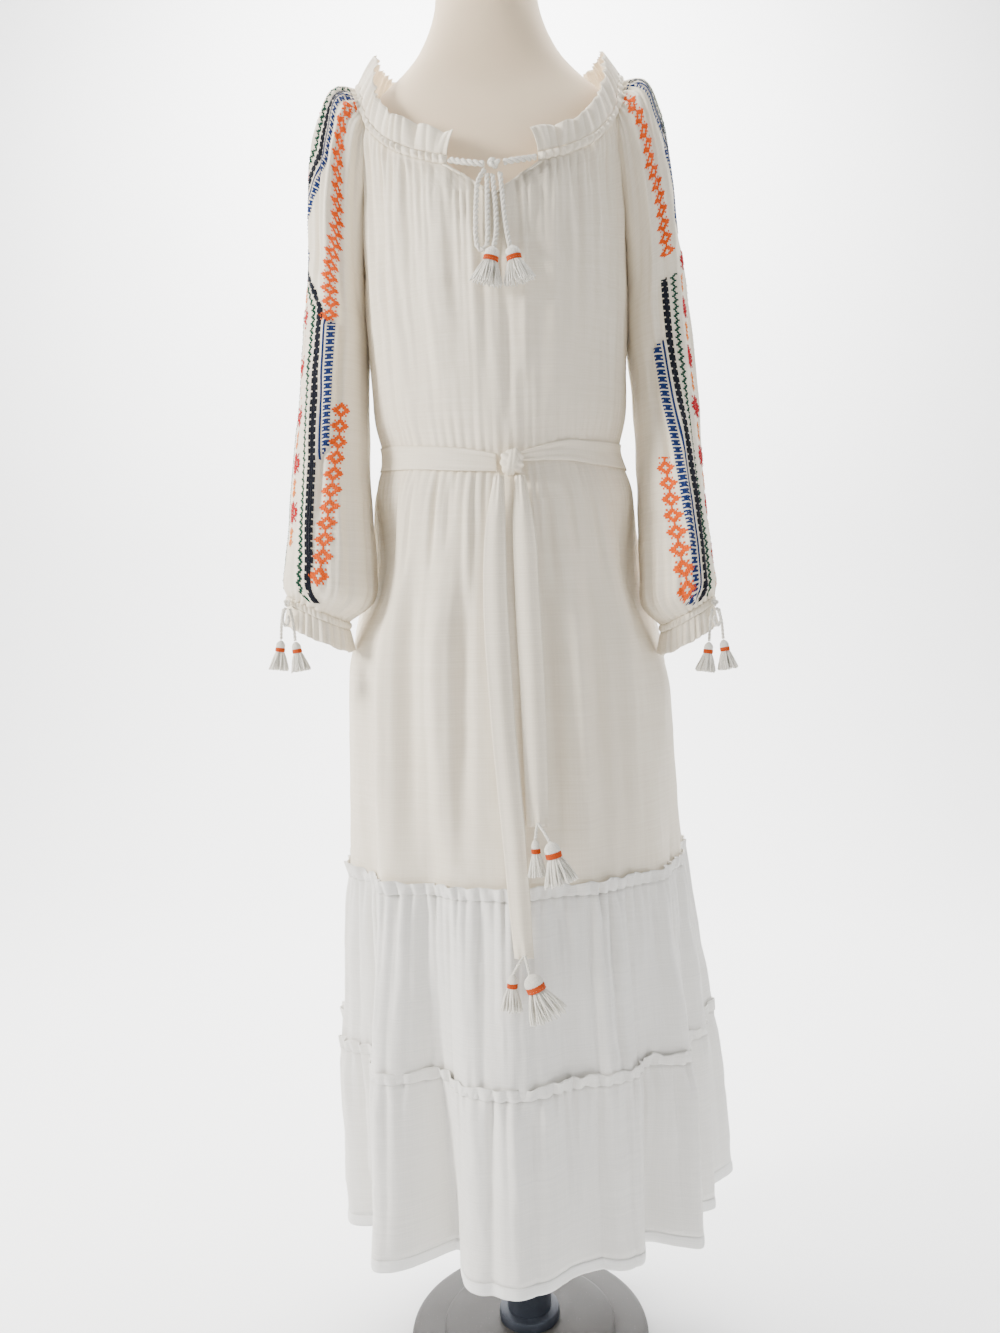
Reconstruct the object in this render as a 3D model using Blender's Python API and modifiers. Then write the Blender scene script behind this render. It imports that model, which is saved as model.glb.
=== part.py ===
"""Peasant dress on a dress form.

A long gathered raglan dress in two tiers hangs on a limbless form that stands
on a pole and a round base. Metres, +Z up, the front faces -Y, and the origin is
the centre of the base's underside. Left is -X and right is +X, as seen from
the front.
"""
import math

import bmesh
import bpy
import numpy as np

# Driving dimensions
GARMENT_Y = -0.030           # the garment's axis stands in front of the pole
CLOTH = 0.0012               # wall of the linen
SEAM_GAP = 0.0003            # between pieces that are sewn together
SEAM_EASE = 0.0012           # a creased seam's edges keep this from the seam line
SLEEVE_OVER = 0.0026         # the sleeve's seam edges lie this far outside the panels
SLEEVE_TOP_GAP = 0.00225     # from the casing down to the sleeve's top edge
NECK_SEAM_GAP = 0.0015       # below and above the gathered casing
UNDERARM_Z = 1.200
TIER_1_TOP_Z = 0.600
TIER_2_TOP_Z = 0.400
HEM_TOP_Z = 0.2033
HEM_Z = 0.190
HEM_WALL = 0.0022

CASING_HEIGHT = 0.010
RUFFLE_HEIGHT = 0.025
RUFFLE_WAVES = 12
RUFFLE_WAVE_OUT = 0.0020
RUFFLE_LEAN = 0.65           # how far the ruffle leans in over the shoulders, for each metre up
CASING_OUT = 0.0008          # the casing and ruffle stand this far outside the seam line
CASING_WALL = 0.0016

FRONT_SEAM_TOP = 62.0        # degrees from the front middle to the raglan seam
BACK_SEAM_TOP = 60.0         # the same from the back middle
TOP_EASE = 0.975             # the sleeve's top edge keeps clear of both seams

SLIT_BOTTOM_Z = 1.315
SLIT_TOP_ANGLE = 18.0        # degrees each side of the front middle, at the neckline

BELT_WIDTH = 0.025
BELT_WALL = 0.0016
BELT_FRONT_Z = 1.043
BELT_SIDE_RISE = 0.034
BELT_RISE_POWER = 0.9        # how soon the belt rises beside the knot
BELT_CINCH = 0.009
BELT_CINCH_REACH = 0.030
BELT_CLEAR = 0.0022
BELT_ENDS = (10.5, 357.0)    # angles where the band goes into the knot
BELT_KNOT_SIZE = (0.0230, 0.0170, 0.0260)
BELT_KNOT_OUT = 0.0110       # from the cloth to the middle of the knot
BELT_TAIL_ROWS = 14

HEADING_HEIGHT = 0.013
HEADING_CLEAR = 0.0028
HEADING_WAVES = 19
HEADING_WAVE_OUT = 0.0022
HEADING_LAP = 0.004          # the heading's foot is below its seam
HEADING_FLARE = 0.002

PANEL_COLUMNS = 24
SLEEVE_COLUMNS = 20
SKIRT_COLUMNS = 48
BAND_COLUMNS = 48
YOKE_SHARES = (0.0, 0.12, 0.30, 0.52, 0.76, 1.0)
BELOW_UNDERARM_Z = 1.150     # the first row of the body below the underarm
BELT_ROWS = (0.034, 0.015, 0.0, -0.015, -0.034)
SKIRT_ROWS = (0.955, 0.880, 0.780, 0.690, TIER_1_TOP_Z)
SIDE_SEAM_EASE = 0.10        # degrees each side of a side seam

CORD_DIAMETER = 0.0050
DRAWSTRING_DIAMETER = 0.0060
CUFF_CORD_DIAMETER = 0.0032
CORD_SPACING = 2.4           # diameters between the points of a cord
BOW_KNOT_SIZE = (0.0130, 0.0110, 0.0090)
BOW_KNOT_OUT = 0.0100
CUFF_KNOT_SIZE = 0.0075

BASE_RADIUS = 0.145
DISH_RADIUS = 0.104
POLE_RADIUS = 0.027
COLLAR_RADIUS = 0.037
DISC_TOP_Z = 0.0155
DISH_TOP_Z = 0.0260
COLLAR_TOP_Z = 0.038

# Heights between which the chest folds fade in over the belt and out under the neckline, and
# the hip folds fade in under the belt: start, length of the fade
CHEST_FOLD_FADE = (1.08, 0.12)
NECK_FOLD_FADE = (1.36, 0.08)
HIP_FOLD_FADE = (1.02, 0.14)

# Neckline: angle in degrees from the front middle, height
NECKLINE = (
    (0, 1.357), (18, 1.361), (29, 1.371), (41, 1.386), (50, 1.401), (62, 1.428),
    (72, 1.461), (82, 1.484), (90, 1.489), (110, 1.494), (140, 1.487), (180, 1.480),
)

# Body rings: height, half width, depth in front, depth behind
BODY_RINGS = (
    (1.500, 0.1440, 0.106, 0.082),
    (1.430, 0.1490, 0.108, 0.092),
    (1.360, 0.1500, 0.111, 0.104),
    (1.300, 0.1500, 0.124, 0.108),
    (1.240, 0.1490, 0.132, 0.105),
    (1.180, 0.1460, 0.131, 0.100),
    (1.120, 0.1440, 0.127, 0.096),
    (1.060, 0.1440, 0.124, 0.097),
    (1.000, 0.1540, 0.130, 0.108),
    (0.930, 0.1660, 0.139, 0.126),
    (0.860, 0.1800, 0.147, 0.140),
    (0.740, 0.1870, 0.153, 0.150),
    (0.600, 0.1910, 0.158, 0.156),
    (0.400, 0.2060, 0.158, 0.164),
    (0.190, 0.2080, 0.140, 0.168),
)

# Raglan seams: height, angle of the front seam, angle of the back seam from the back middle
RAGLAN_SEAMS = (
    (1.481, 58.0, 60.0),
    (1.418, 62.0, 64.0),
    (1.340, 69.0, 71.0),
    (1.260, 78.0, 79.0),
    (1.200, 90.0, 90.0),
)

# Soft folds of the body: angle, half width in degrees, out at the chest, out at the hip
BODY_FOLDS = (
    (-66, 10, 0.002, 0.003),
    (-44, 10, 0.005, 0.006),
    (-22, 9, 0.004, 0.007),
    (0, 9, 0.000, 0.005),
    (22, 9, 0.005, 0.006),
    (44, 10, 0.004, 0.007),
    (66, 10, 0.002, 0.003),
    (104, 12, 0.002, 0.006),
    (128, 11, 0.004, 0.007),
    (152, 10, 0.005, 0.006),
    (180, 11, 0.003, 0.007),
    (208, 10, 0.005, 0.006),
    (232, 11, 0.004, 0.007),
    (256, 12, 0.002, 0.006),
)

# Hollow that each hanging sleeve presses into the skirt: angle, half width, depth, height, reach
SLEEVE_HOLLOWS = (
    (-72, 36, 0.025, 0.943, 0.115),
    (72, 36, 0.024, 0.915, 0.125),
)

# Flutes of the tiers at the hem: angle in degrees, outwards, sideways to the right
HEM_FLUTES = (
    (-93, -0.024, 0.000),
    (-78, 0.006, 0.004),
    (-60, -0.040, -0.004),
    (-38, 0.026, -0.004),
    (-27, -0.038, 0.003),
    (-14, 0.028, -0.006),
    (2, 0.030, 0.000),
    (18, 0.001, 0.004),
    (33, 0.012, 0.000),
    (43, -0.024, 0.002),
    (52, 0.028, -0.002),
    (66, -0.020, 0.000),
    (78, 0.016, 0.003),
    (88, -0.010, 0.000),
    (101, 0.050, 0.004),
    (117, -0.024, 0.000),
    (131, 0.026, 0.004),
    (146, -0.026, 0.000),
    (161, 0.032, 0.003),
    (176, -0.024, 0.000),
    (191, 0.028, -0.003),
    (207, -0.026, 0.000),
    (222, 0.030, -0.004),
    (237, -0.022, 0.000),
    (252, 0.022, 0.000),
)

# How much of the flutes each height has
FLUTE_SHARES = ((0.860, 0.0), (0.600, 0.22), (0.400, 0.58), (0.190, 1.0))

# Sleeve above the underarm: share of the way down, crown x, crown height, half depth
SLEEVE_CROWN = {
    "left": (
        (0.00, 0.1440, 1.489, 0.056), (0.12, 0.1720, 1.481, 0.052), (0.30, 0.1930, 1.445, 0.058),
        (0.52, 0.2050, 1.385, 0.065), (0.76, 0.2090, 1.300, 0.066), (1.00, 0.2200, 1.200, 0.065),
    ),
    "right": (
        (0.00, 0.1440, 1.489, 0.056), (0.12, 0.1720, 1.479, 0.052), (0.30, 0.1890, 1.445, 0.058),
        (0.52, 0.1990, 1.385, 0.065), (0.76, 0.2070, 1.300, 0.066), (1.00, 0.2160, 1.200, 0.065),
    ),
}

# Sleeve below the underarm: inner x, inner z, outer x, outer z, middle y, half depth
SLEEVE_RINGS = {
    "left": (
        (0.1490, 1.140, 0.2260, 1.140, -0.006, 0.065),
        (0.1500, 1.070, 0.2320, 1.070, -0.020, 0.066),
        (0.1480, 1.000, 0.2360, 1.003, -0.038, 0.066),
        (0.1450, 0.945, 0.2395, 0.952, -0.054, 0.062),
        (0.1500, 0.903, 0.2410, 0.925, -0.062, 0.052),
        (0.1740, 0.8845, 0.2375, 0.9160, -0.066, 0.034),
    ),
    "right": (
        (0.1520, 1.140, 0.2190, 1.140, -0.006, 0.065),
        (0.1530, 1.060, 0.2220, 1.060, -0.020, 0.066),
        (0.1520, 0.990, 0.2240, 0.990, -0.038, 0.066),
        (0.1500, 0.930, 0.2265, 0.938, -0.054, 0.062),
        (0.1520, 0.888, 0.2270, 0.912, -0.062, 0.052),
        (0.1690, 0.8700, 0.2245, 0.9010, -0.066, 0.034),
    ),
}
CUFF_CASING_DROP = 0.0085
CUFF_RUFFLE_DROP = 0.0260
CUFF_RUFFLE_SWELL = 0.0018
CUFF_RUFFLE_WAVES = 9
CUFF_WAVE_SHARE = 0.6        # wave of the cuff's ruffle as a share of its swell

# Dress form: height, half width, depth in front, depth behind
FORM_RINGS = (
    (0.720, 0.140, 0.096, 0.100),
    (0.760, 0.150, 0.108, 0.112),
    (0.860, 0.152, 0.112, 0.116),
    (0.950, 0.130, 0.099, 0.102),
    (1.040, 0.118, 0.092, 0.080),
    (1.090, 0.116, 0.092, 0.077),
    (1.160, 0.124, 0.102, 0.080),
    (1.240, 0.131, 0.116, 0.086),
    (1.300, 0.134, 0.106, 0.090),
    (1.360, 0.140, 0.088, 0.088),
    (1.410, 0.148, 0.073, 0.078),
    (1.445, 0.148, 0.060, 0.068),
    (1.466, 0.130, 0.053, 0.061),
    (1.486, 0.106, 0.050, 0.057),
    (1.506, 0.086, 0.050, 0.056),
    (1.530, 0.071, 0.051, 0.056),
    (1.560, 0.060, 0.052, 0.055),
    (1.600, 0.0565, 0.052, 0.054),
    (1.620, 0.0560, 0.052, 0.054),
)
FORM_COLUMNS = 32
NECK_CAP_HEIGHT = 0.006
NECK_CAP_RADIUS = 0.048

# Neck bow: cord routes as x, height, how far the middle stands off the front panel
BOW_KNOT = (0.001, 1.3445)
BOW_ROUTES = {
    "bow_cord_left": (
        (-0.0080, 1.3400, 0.004), (-0.0150, 1.3280, 0.004), (-0.0180, 1.3060, 0.003),
        (-0.0192, 1.2840, 0.003), (-0.0192, 1.2660, 0.003), (-0.0178, 1.2575, 0.003),
        (-0.0135, 1.2538, 0.003), (-0.0092, 1.2575, 0.003), (-0.0078, 1.2660, 0.003),
        (-0.0072, 1.2880, 0.003), (-0.0066, 1.3120, 0.003), (-0.0062, 1.3350, 0.004),
    ),
    "bow_cord_middle": (
        (-0.0008, 1.3340, 0.004), (0.0005, 1.3120, 0.003), (0.0015, 1.2880, 0.003), (0.0006, 1.2670, 0.0045),
        (-0.0022, 1.2532, 0.0085),
    ),
    "bow_cord_right": (
        (0.0070, 1.3360, 0.004), (0.0085, 1.3120, 0.003), (0.0100, 1.2880, 0.003), (0.0125, 1.2670, 0.0045),
        (0.0148, 1.2537, 0.0085),
    ),
}
DRAWSTRING_ROUTES = {
    "drawstring_left": (
        (-0.0455, 1.3560, -0.003), (-0.0360, 1.3520, 0.001), (-0.0240, 1.3478, 0.004),
        (-0.0085, 1.3445, 0.005),
    ),
    "drawstring_right": (
        (0.0455, 1.3560, -0.003), (0.0360, 1.3525, 0.001), (0.0240, 1.3490, 0.004), (0.0105, 1.3460, 0.005),
    ),
}

# Cuff ties, mirrored on the right sleeve: the knot from the outer end of the sleeve's last ring
CUFF_TIE_SHIFT = (-0.0035, -0.0300, -0.0090)

# Loop of a cuff tie from its knot: outwards, back, up
CUFF_LOOP = (
    (0.0005, -0.0055, -0.0048), (0.0032, -0.0080, -0.0130), (0.0036, -0.0080, -0.0205),
    (0.0006, -0.0080, -0.0244), (-0.0024, -0.0080, -0.0205), (-0.0020, -0.0080, -0.0130),
)

# Ends of a cuff tie: letter, how far the end lies outwards of the knot, how far it hangs
CUFF_ENDS = (("a", 0.0075, 0.039), ("b", -0.0075, 0.041))
CUFF_END_Y = -0.0030
CUFF_TASSEL_LENGTH = 0.033
CUFF_TASSEL_SPREAD = 0.75
CUFF_TASSEL_TILT = 8.0

# Tassel outline in tassel lengths: height below the top of the head, radius
TASSEL_PROFILE = (
    (0.00, 0.02), (0.05, 0.15), (0.16, 0.21), (0.27, 0.15), (0.31, 0.17),
    (0.35, 0.18), (0.40, 0.17), (0.62, 0.26), (1.00, 0.38), (1.00, 0.02),
)

# Hanging tassels: x, height of the head's top, y from the garment's axis, length, spread, tilt in degrees
TASSELS = {
    "neck_tassel_left": (-0.0024, 1.2526, -0.1490, 0.038, 1.00, -14.0),
    "neck_tassel_right": (0.0152, 1.2531, -0.1490, 0.038, 1.00, 12.0),
    "belt_tassel_left_a": (0.0090, 0.5360, -0.2060, 0.048, 1.00, 22.0),
    "belt_tassel_left_b": (-0.0075, 0.5330, -0.1950, 0.038, 0.65, -4.0),
    "belt_tassel_right_a": (0.0330, 0.6640, -0.1980, 0.044, 0.90, 14.0),
    "belt_tassel_right_b": (0.0190, 0.6640, -0.1850, 0.038, 0.55, 2.0),
}
TASSEL_FLATNESS = 0.6        # a tassel lies a little flat on the cloth

BELT_KNOT = (0.0095, 1.0430)

# Belt tails: height, x of the middle, width, y from the garment's axis
BELT_TAILS = {
    "belt_tail_left": (
        (1.028, -0.0050, 0.010, -0.1385), (0.980, -0.0095, 0.020, -0.1420), (0.900, -0.0110, 0.025, -0.1540),
        (0.780, -0.0080, 0.0245, -0.1680), (0.660, -0.0010, 0.0235, -0.1800), (0.600, 0.0020, 0.022, -0.1850),
        (0.545, 0.0050, 0.0190, -0.1880),
    ),
    "belt_tail_right": (
        (1.028, 0.0170, 0.010, -0.1345), (0.980, 0.0200, 0.022, -0.1400), (0.900, 0.0205, 0.025, -0.1520),
        (0.780, 0.0220, 0.025, -0.1640), (0.674, 0.0225, 0.0230, -0.1740),
    ),
}


def clear_scene():
    """Remove every object that the file opened with."""
    for item in list(bpy.data.objects):
        bpy.data.objects.remove(item, do_unlink=True)


def collection_named(name):
    """Make a collection in the scene."""
    group = bpy.data.collections.new(name)
    bpy.context.scene.collection.children.link(group)
    return group


def material(name, colour, roughness, metallic=0.0):
    """Make a Principled material, or give back the one of that name."""
    found = bpy.data.materials.get(name)
    if found:
        return found
    made = bpy.data.materials.new(name)
    made.use_nodes = True
    shader = made.node_tree.nodes["Principled BSDF"]
    shader.inputs["Base Color"].default_value = (*colour, 1.0)
    shader.inputs["Roughness"].default_value = roughness
    shader.inputs["Metallic"].default_value = metallic
    return made


def linen():
    return material("linen", (0.80, 0.76, 0.68), 0.90)


def whiter_linen():
    return material("hem_linen", (0.86, 0.85, 0.80), 0.88)


def cotton_cord():
    return material("cord_cotton", (0.84, 0.81, 0.73), 0.85)


def tassel_cotton():
    return material("tassel_cotton", (0.86, 0.83, 0.76), 0.88)


def form_cloth():
    return material("form_cloth", (0.76, 0.66, 0.51), 0.92)


def pole_paint():
    return material("pole_paint", (0.04, 0.05, 0.08), 0.45, 0.6)


def base_paint():
    return material("base_paint", (0.06, 0.055, 0.05), 0.55, 0.6)


def read_table(rows, height, column):
    """Smoothly read one column of a table at a height or an angle, with its first column in any order."""
    ordered = sorted(rows, key=lambda row: row[0])
    keys = np.array([row[0] for row in ordered], dtype=float)
    values = np.array([row[column] for row in ordered], dtype=float)
    slopes = np.gradient(values, keys)
    at = np.clip(np.asarray(height, dtype=float), keys[0], keys[-1])
    place = np.clip(np.searchsorted(keys, at, side="right") - 1, 0, len(keys) - 2)
    span = keys[place + 1] - keys[place]
    part = (at - keys[place]) / span
    start = (1 + 2 * part) * (1 - part) ** 2 * values[place] + part * (1 - part) ** 2 * span * slopes[place]
    end = part ** 2 * (3 - 2 * part) * values[place + 1] + part ** 2 * (part - 1) * span * slopes[place + 1]
    return start + end


def wrap(angle):
    """Bring an angle in degrees between -180 and 180."""
    return (np.asarray(angle, dtype=float) + 180.0) % 360.0 - 180.0


def neckline_height(angle):
    """Height of the neckline seam at an angle from the front middle."""
    return read_table(NECKLINE, np.abs(wrap(angle)), 1)


def belt_height(angle):
    """The belt sags at the front knot and rises to the sides and back."""
    return BELT_FRONT_Z + BELT_SIDE_RISE * np.sin(np.radians(np.abs(wrap(angle))) / 2) ** BELT_RISE_POWER


def body_fold(angle, height):
    """How far the soft folds and the belt move the cloth of the body, outwards."""
    high = np.asarray(height, dtype=float)
    above_belt = np.clip((high - CHEST_FOLD_FADE[0]) / CHEST_FOLD_FADE[1], 0, 1)
    above_belt = above_belt * np.clip((NECK_FOLD_FADE[0] - high) / NECK_FOLD_FADE[1] + 0.5, 0.5, 1)
    below_belt = np.clip((HIP_FOLD_FADE[0] - high) / HIP_FOLD_FADE[1], 0, 1)
    out = np.zeros(np.broadcast(angle, high).shape)
    for middle, half_width, chest, hip in BODY_FOLDS:
        away = np.clip(np.abs(wrap(angle - middle)) / half_width, 0, 1)
        out += 0.5 * (1 + np.cos(math.pi * away)) * (chest * above_belt + hip * below_belt)
    cinch = BELT_CINCH * np.exp(-(((high - belt_height(angle)) / BELT_CINCH_REACH) ** 2))
    out -= cinch
    for middle, half_width, depth, centre, reach in SLEEVE_HOLLOWS:
        across = np.clip(np.abs(wrap(angle - middle)) / half_width, 0, 1)
        along = np.clip(np.abs(high - centre) / reach, 0, 1)
        out -= depth * np.cos(math.pi / 2 * across) ** 2 * np.cos(math.pi / 2 * along) ** 2
    return out


def flute(angle, height):
    """Outward and sideways shift of the tiers' flutes."""
    rows = []
    for turn in (-360, 0, 360):
        rows += [(row[0] + turn, row[1], row[2]) for row in HEM_FLUTES]
    share = read_table(FLUTE_SHARES, height, 1)
    return read_table(rows, wrap(angle), 1) * share, read_table(rows, wrap(angle), 2) * share


def body_point(angle, height, stand_off=0.0):
    """A point of the dress body at an angle from the front middle and a height."""
    angle, height = np.broadcast_arrays(np.asarray(angle, dtype=float), np.asarray(height, dtype=float))
    turn = np.radians(angle)
    width = read_table(BODY_RINGS, height, 1)
    depth = np.where(np.cos(turn) > 0, read_table(BODY_RINGS, height, 2), read_table(BODY_RINGS, height, 3))
    out, side = flute(angle, height)
    out = out + body_fold(angle, height) + stand_off
    x = width * np.sin(turn) + out * np.sin(turn) + side * np.cos(turn)
    y = -depth * np.cos(turn) - out * np.cos(turn) + side * np.sin(turn)
    return np.stack([x, y + GARMENT_Y, height], axis=-1)


def put(name, mesh_vertices, faces, finish, group):
    """Make a mesh object from points and faces."""
    mesh = bpy.data.meshes.new(name)
    mesh.from_pydata([tuple(point) for point in mesh_vertices], [], faces)
    mesh.update()
    made = bpy.data.objects.new(name, mesh)
    made.data.materials.append(finish)
    group.objects.link(made)
    return made


def grid_faces(rows, columns, closed):
    """Quads of a grid whose points are stored row by row."""
    faces = []
    for row in range(rows - 1):
        for column in range(columns if closed else columns - 1):
            after = (column + 1) % columns
            faces.append((row * columns + column, row * columns + after,
                          (row + 1) * columns + after, (row + 1) * columns + column))
    return faces


def weld(made):
    """Join the points of a sheet that meet."""
    work = bmesh.new()
    work.from_mesh(made.data)
    bmesh.ops.remove_doubles(work, verts=work.verts, dist=0.00001)
    bmesh.ops.recalc_face_normals(work, faces=work.faces)
    work.to_mesh(made.data)
    work.free()


def sheet(name, points, finish, group, wall=CLOTH, closed=False, welded=False):
    """A sheet of cloth: a grid of points with a wall round its middle surface."""
    rows, columns = points.shape[:2]
    made = put(name, points.reshape(-1, 3), grid_faces(rows, columns, closed), finish, group)
    if welded:
        weld(made)
    solid = made.modifiers.new("wall", "SOLIDIFY")
    solid.thickness = wall
    solid.offset = 0.0
    solid.use_even_offset = False
    solid.use_rim = True
    return made


def raglan_angle(height, column):
    return read_table(RAGLAN_SEAMS, height, column)


def ease_in_degrees(height, ease):
    """The angle that a short length along a body ring takes."""
    return np.degrees(ease / read_table(BODY_RINGS, height, 1))


def slit_angle(height):
    """Half angle of the front slit at a height: nothing below its bottom."""
    top = float(neckline_height(SLIT_TOP_ANGLE)) - CASING_HEIGHT
    opened = np.clip((np.asarray(height, dtype=float) - SLIT_BOTTOM_Z) / (top - SLIT_BOTTOM_Z), 0, 1)
    return SLIT_TOP_ANGLE * opened


def lower_rows(angles):
    """Heights of a panel's rows from the underarm to the first tier seam; five of them follow the belt."""
    level = [np.full_like(angles, BELOW_UNDERARM_Z)]
    level += [belt_height(angles) + rise for rise in BELT_ROWS]
    level += [np.full_like(angles, height) for height in SKIRT_ROWS]
    return level


def front_half(side):
    """Points of one half of the front panel, from the slit edge to the raglan and side seams."""
    across = np.linspace(0, 1, PANEL_COLUMNS // 2 + 1)
    seam_top = float(neckline_height(FRONT_SEAM_TOP)) - CASING_HEIGHT
    rows = []
    top_angles = SLIT_TOP_ANGLE + across * (FRONT_SEAM_TOP - SLIT_TOP_ANGLE)
    top_heights = neckline_height(top_angles) - CASING_HEIGHT - NECK_SEAM_GAP
    for share in YOKE_SHARES:
        heights = top_heights + (UNDERARM_Z - top_heights) * share
        seam_height = seam_top + (UNDERARM_Z - seam_top) * share
        start = float(slit_angle(heights[0]))
        end = float(raglan_angle(seam_height, 1) - ease_in_degrees(seam_height, SEAM_EASE))
        rows.append(body_point(side * (start + across * (end - start)), heights))
    end = 90.0 - SIDE_SEAM_EASE
    for heights in lower_rows(side * across * end):
        rows.append(body_point(side * across * end, heights))
    return np.array(rows)


def back_points():
    """Points of the back panel, from one raglan seam to the other."""
    across = np.linspace(-1, 1, PANEL_COLUMNS + 1)
    rows = []
    top_heights = neckline_height(180.0 + across * BACK_SEAM_TOP) - CASING_HEIGHT - NECK_SEAM_GAP
    seam_top = float(top_heights[0])
    for share in YOKE_SHARES:
        heights = top_heights + (UNDERARM_Z - top_heights) * share
        seam_height = seam_top + (UNDERARM_Z - seam_top) * share
        end = float(raglan_angle(seam_height, 2) - ease_in_degrees(seam_height, SEAM_EASE))
        rows.append(body_point(180.0 + across * end, heights))
    end = 90.0 - SIDE_SEAM_EASE
    for heights in lower_rows(180.0 + across * end):
        rows.append(body_point(180.0 + across * end, heights))
    return np.array(rows)


def seam_points(share, side, column):
    """A raglan seam point for a sleeve, just outside the panel: x, y and height."""
    if column == 1:
        top = float(neckline_height(FRONT_SEAM_TOP)) - CASING_HEIGHT
    else:
        top = float(neckline_height(180.0 - BACK_SEAM_TOP)) - CASING_HEIGHT
    height = top + (UNDERARM_Z - top) * share
    angle = float(raglan_angle(height, column))
    angle += float(ease_in_degrees(height, SEAM_EASE))
    angle = angle if column == 1 else 180.0 - angle
    return body_point(side * angle, height, SLEEVE_OVER)


def sleeve_points(side_name):
    """Points of a sleeve: open arcs from seam to seam, then closed rings to the cuff."""
    side = -1.0 if side_name == "left" else 1.0
    turns = np.linspace(-1, 1, SLEEVE_COLUMNS + 1)
    rows = []
    for share, crown_x, crown_z, half_depth in SLEEVE_CROWN[side_name]:
        if share == 0.0:
            reach = np.where(turns < 0, 90.0 - FRONT_SEAM_TOP, 90.0 - BACK_SEAM_TOP)
            angles = 90.0 + turns * reach * TOP_EASE
            top = neckline_height(angles) - CASING_HEIGHT - SLEEVE_TOP_GAP
            rows.append(body_point(side * angles, top))
            continue
        points = np.zeros((len(turns), 3))
        for column, chosen in ((1, turns <= 0), (2, turns >= 0)):
            seam = seam_points(share, side, column)
            reach = min(abs(seam[1] - GARMENT_Y) / half_depth, 1.0) if share < 1.0 else 0.0
            widest = math.pi - math.asin(reach)
            half_width = (crown_x - abs(seam[0])) / (1 - math.cos(widest))
            turn = turns[chosen] * widest
            lift = (np.cos(turn) - math.cos(widest)) / (1 - math.cos(widest))
            points[chosen, 0] = side * (crown_x - half_width + half_width * np.cos(turn))
            points[chosen, 1] = GARMENT_Y + half_depth * np.sin(turn)
            points[chosen, 2] = seam[2] + (crown_z - seam[2]) * lift
        rows.append(points)
    for inner_x, inner_z, outer_x, outer_z, middle_y, half_depth in SLEEVE_RINGS[side_name]:
        rows.append(sleeve_ring(side, turns, inner_x, inner_z, outer_x, outer_z, middle_y, half_depth))
    return np.array(rows)


def sleeve_ring(side, turns, inner_x, inner_z, outer_x, outer_z, middle_y, half_depth):
    """A closed ring of a hanging sleeve, tilted from its inner to its outer edge."""
    turn = turns * math.pi
    level = (1 - np.cos(turn)) / 2
    x = side * (outer_x + (inner_x - outer_x) * level)
    z = outer_z + (inner_z - outer_z) * level
    y = GARMENT_Y + middle_y + half_depth * np.sin(turn)
    return np.stack([x, y, z], axis=-1)


def cuff_ring(side_name, drop, swell, waves, columns):
    """A ring of a cuff: the sleeve's last ring, dropped and swollen."""
    side = -1.0 if side_name == "left" else 1.0
    turns = np.linspace(-1, 1, columns + 1)[:-1]
    inner_x, inner_z, outer_x, outer_z, middle_y, half_depth = SLEEVE_RINGS[side_name][-1]
    points = sleeve_ring(side, turns, inner_x, inner_z, outer_x, outer_z, middle_y, half_depth)
    middle = points.mean(axis=0)
    away = points - middle
    length = np.linalg.norm(away, axis=1, keepdims=True)
    wave = swell * (1 + CUFF_WAVE_SHARE * np.cos(turns * math.pi * waves * 2))[:, None]
    points = points + away / length * np.where(swell > 0, wave, 0.0)
    points[:, 2] -= drop
    return points


def neck_band(low, high, low_out, high_out, waves, wave_out, columns, rows):
    """An open band round the neckline, from low to high above the seam line."""
    angles = np.linspace(SLIT_TOP_ANGLE, 360.0 - SLIT_TOP_ANGLE, columns + 1)
    seam = neckline_height(angles)
    base = body_point(angles, seam)
    turn = np.radians(angles)
    steep = np.clip(np.abs(np.sin(turn)) ** 3, 0, 1)
    points = []
    for share in np.linspace(0, 1, rows):
        up = low + (high - low) * share
        out = low_out + (high_out - low_out) * share
        out = out + wave_out * share * np.cos(np.radians(angles) * waves)
        lean = -RUFFLE_LEAN * steep * up * (up > 0)
        x = base[:, 0] + (out + lean) * np.sin(turn)
        y = base[:, 1] - out * np.cos(turn)
        points.append(np.stack([x, y, seam + up], axis=-1))
    return np.array(points)


def skirt_ring(height, stand_off=0.0, wave_out=0.0, waves=0):
    """A closed ring of a tier at a height."""
    angles = np.linspace(-180.0, 180.0, SKIRT_COLUMNS + 1)[:-1]
    ripple = wave_out * np.cos(np.radians(angles) * waves)
    return body_point(angles, np.full_like(angles, height), stand_off + ripple)


def front_surface_y(x, height):
    """How far forward the body's cloth stands at an x and a height."""
    angle = math.degrees(math.asin(max(-1.0, min(1.0, x / float(read_table(BODY_RINGS, height, 1))))))
    return float(body_point(angle, height)[1])


def smooth_route(points, spacing):
    """Points along a smooth curve through a route's own points."""
    given = np.array(points, dtype=float)
    steps = np.linalg.norm(np.diff(given, axis=0), axis=1)
    along = np.concatenate([[0.0], np.cumsum(steps)])
    count = max(3, int(round(along[-1] / spacing)) + 1)
    wanted = np.linspace(0, along[-1], count)
    columns = []
    for axis in range(3):
        rows = [(along[index], given[index, axis]) for index in range(len(given))]
        columns.append(read_table(rows, wanted, 1))
    return np.stack(columns, axis=-1)


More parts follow.
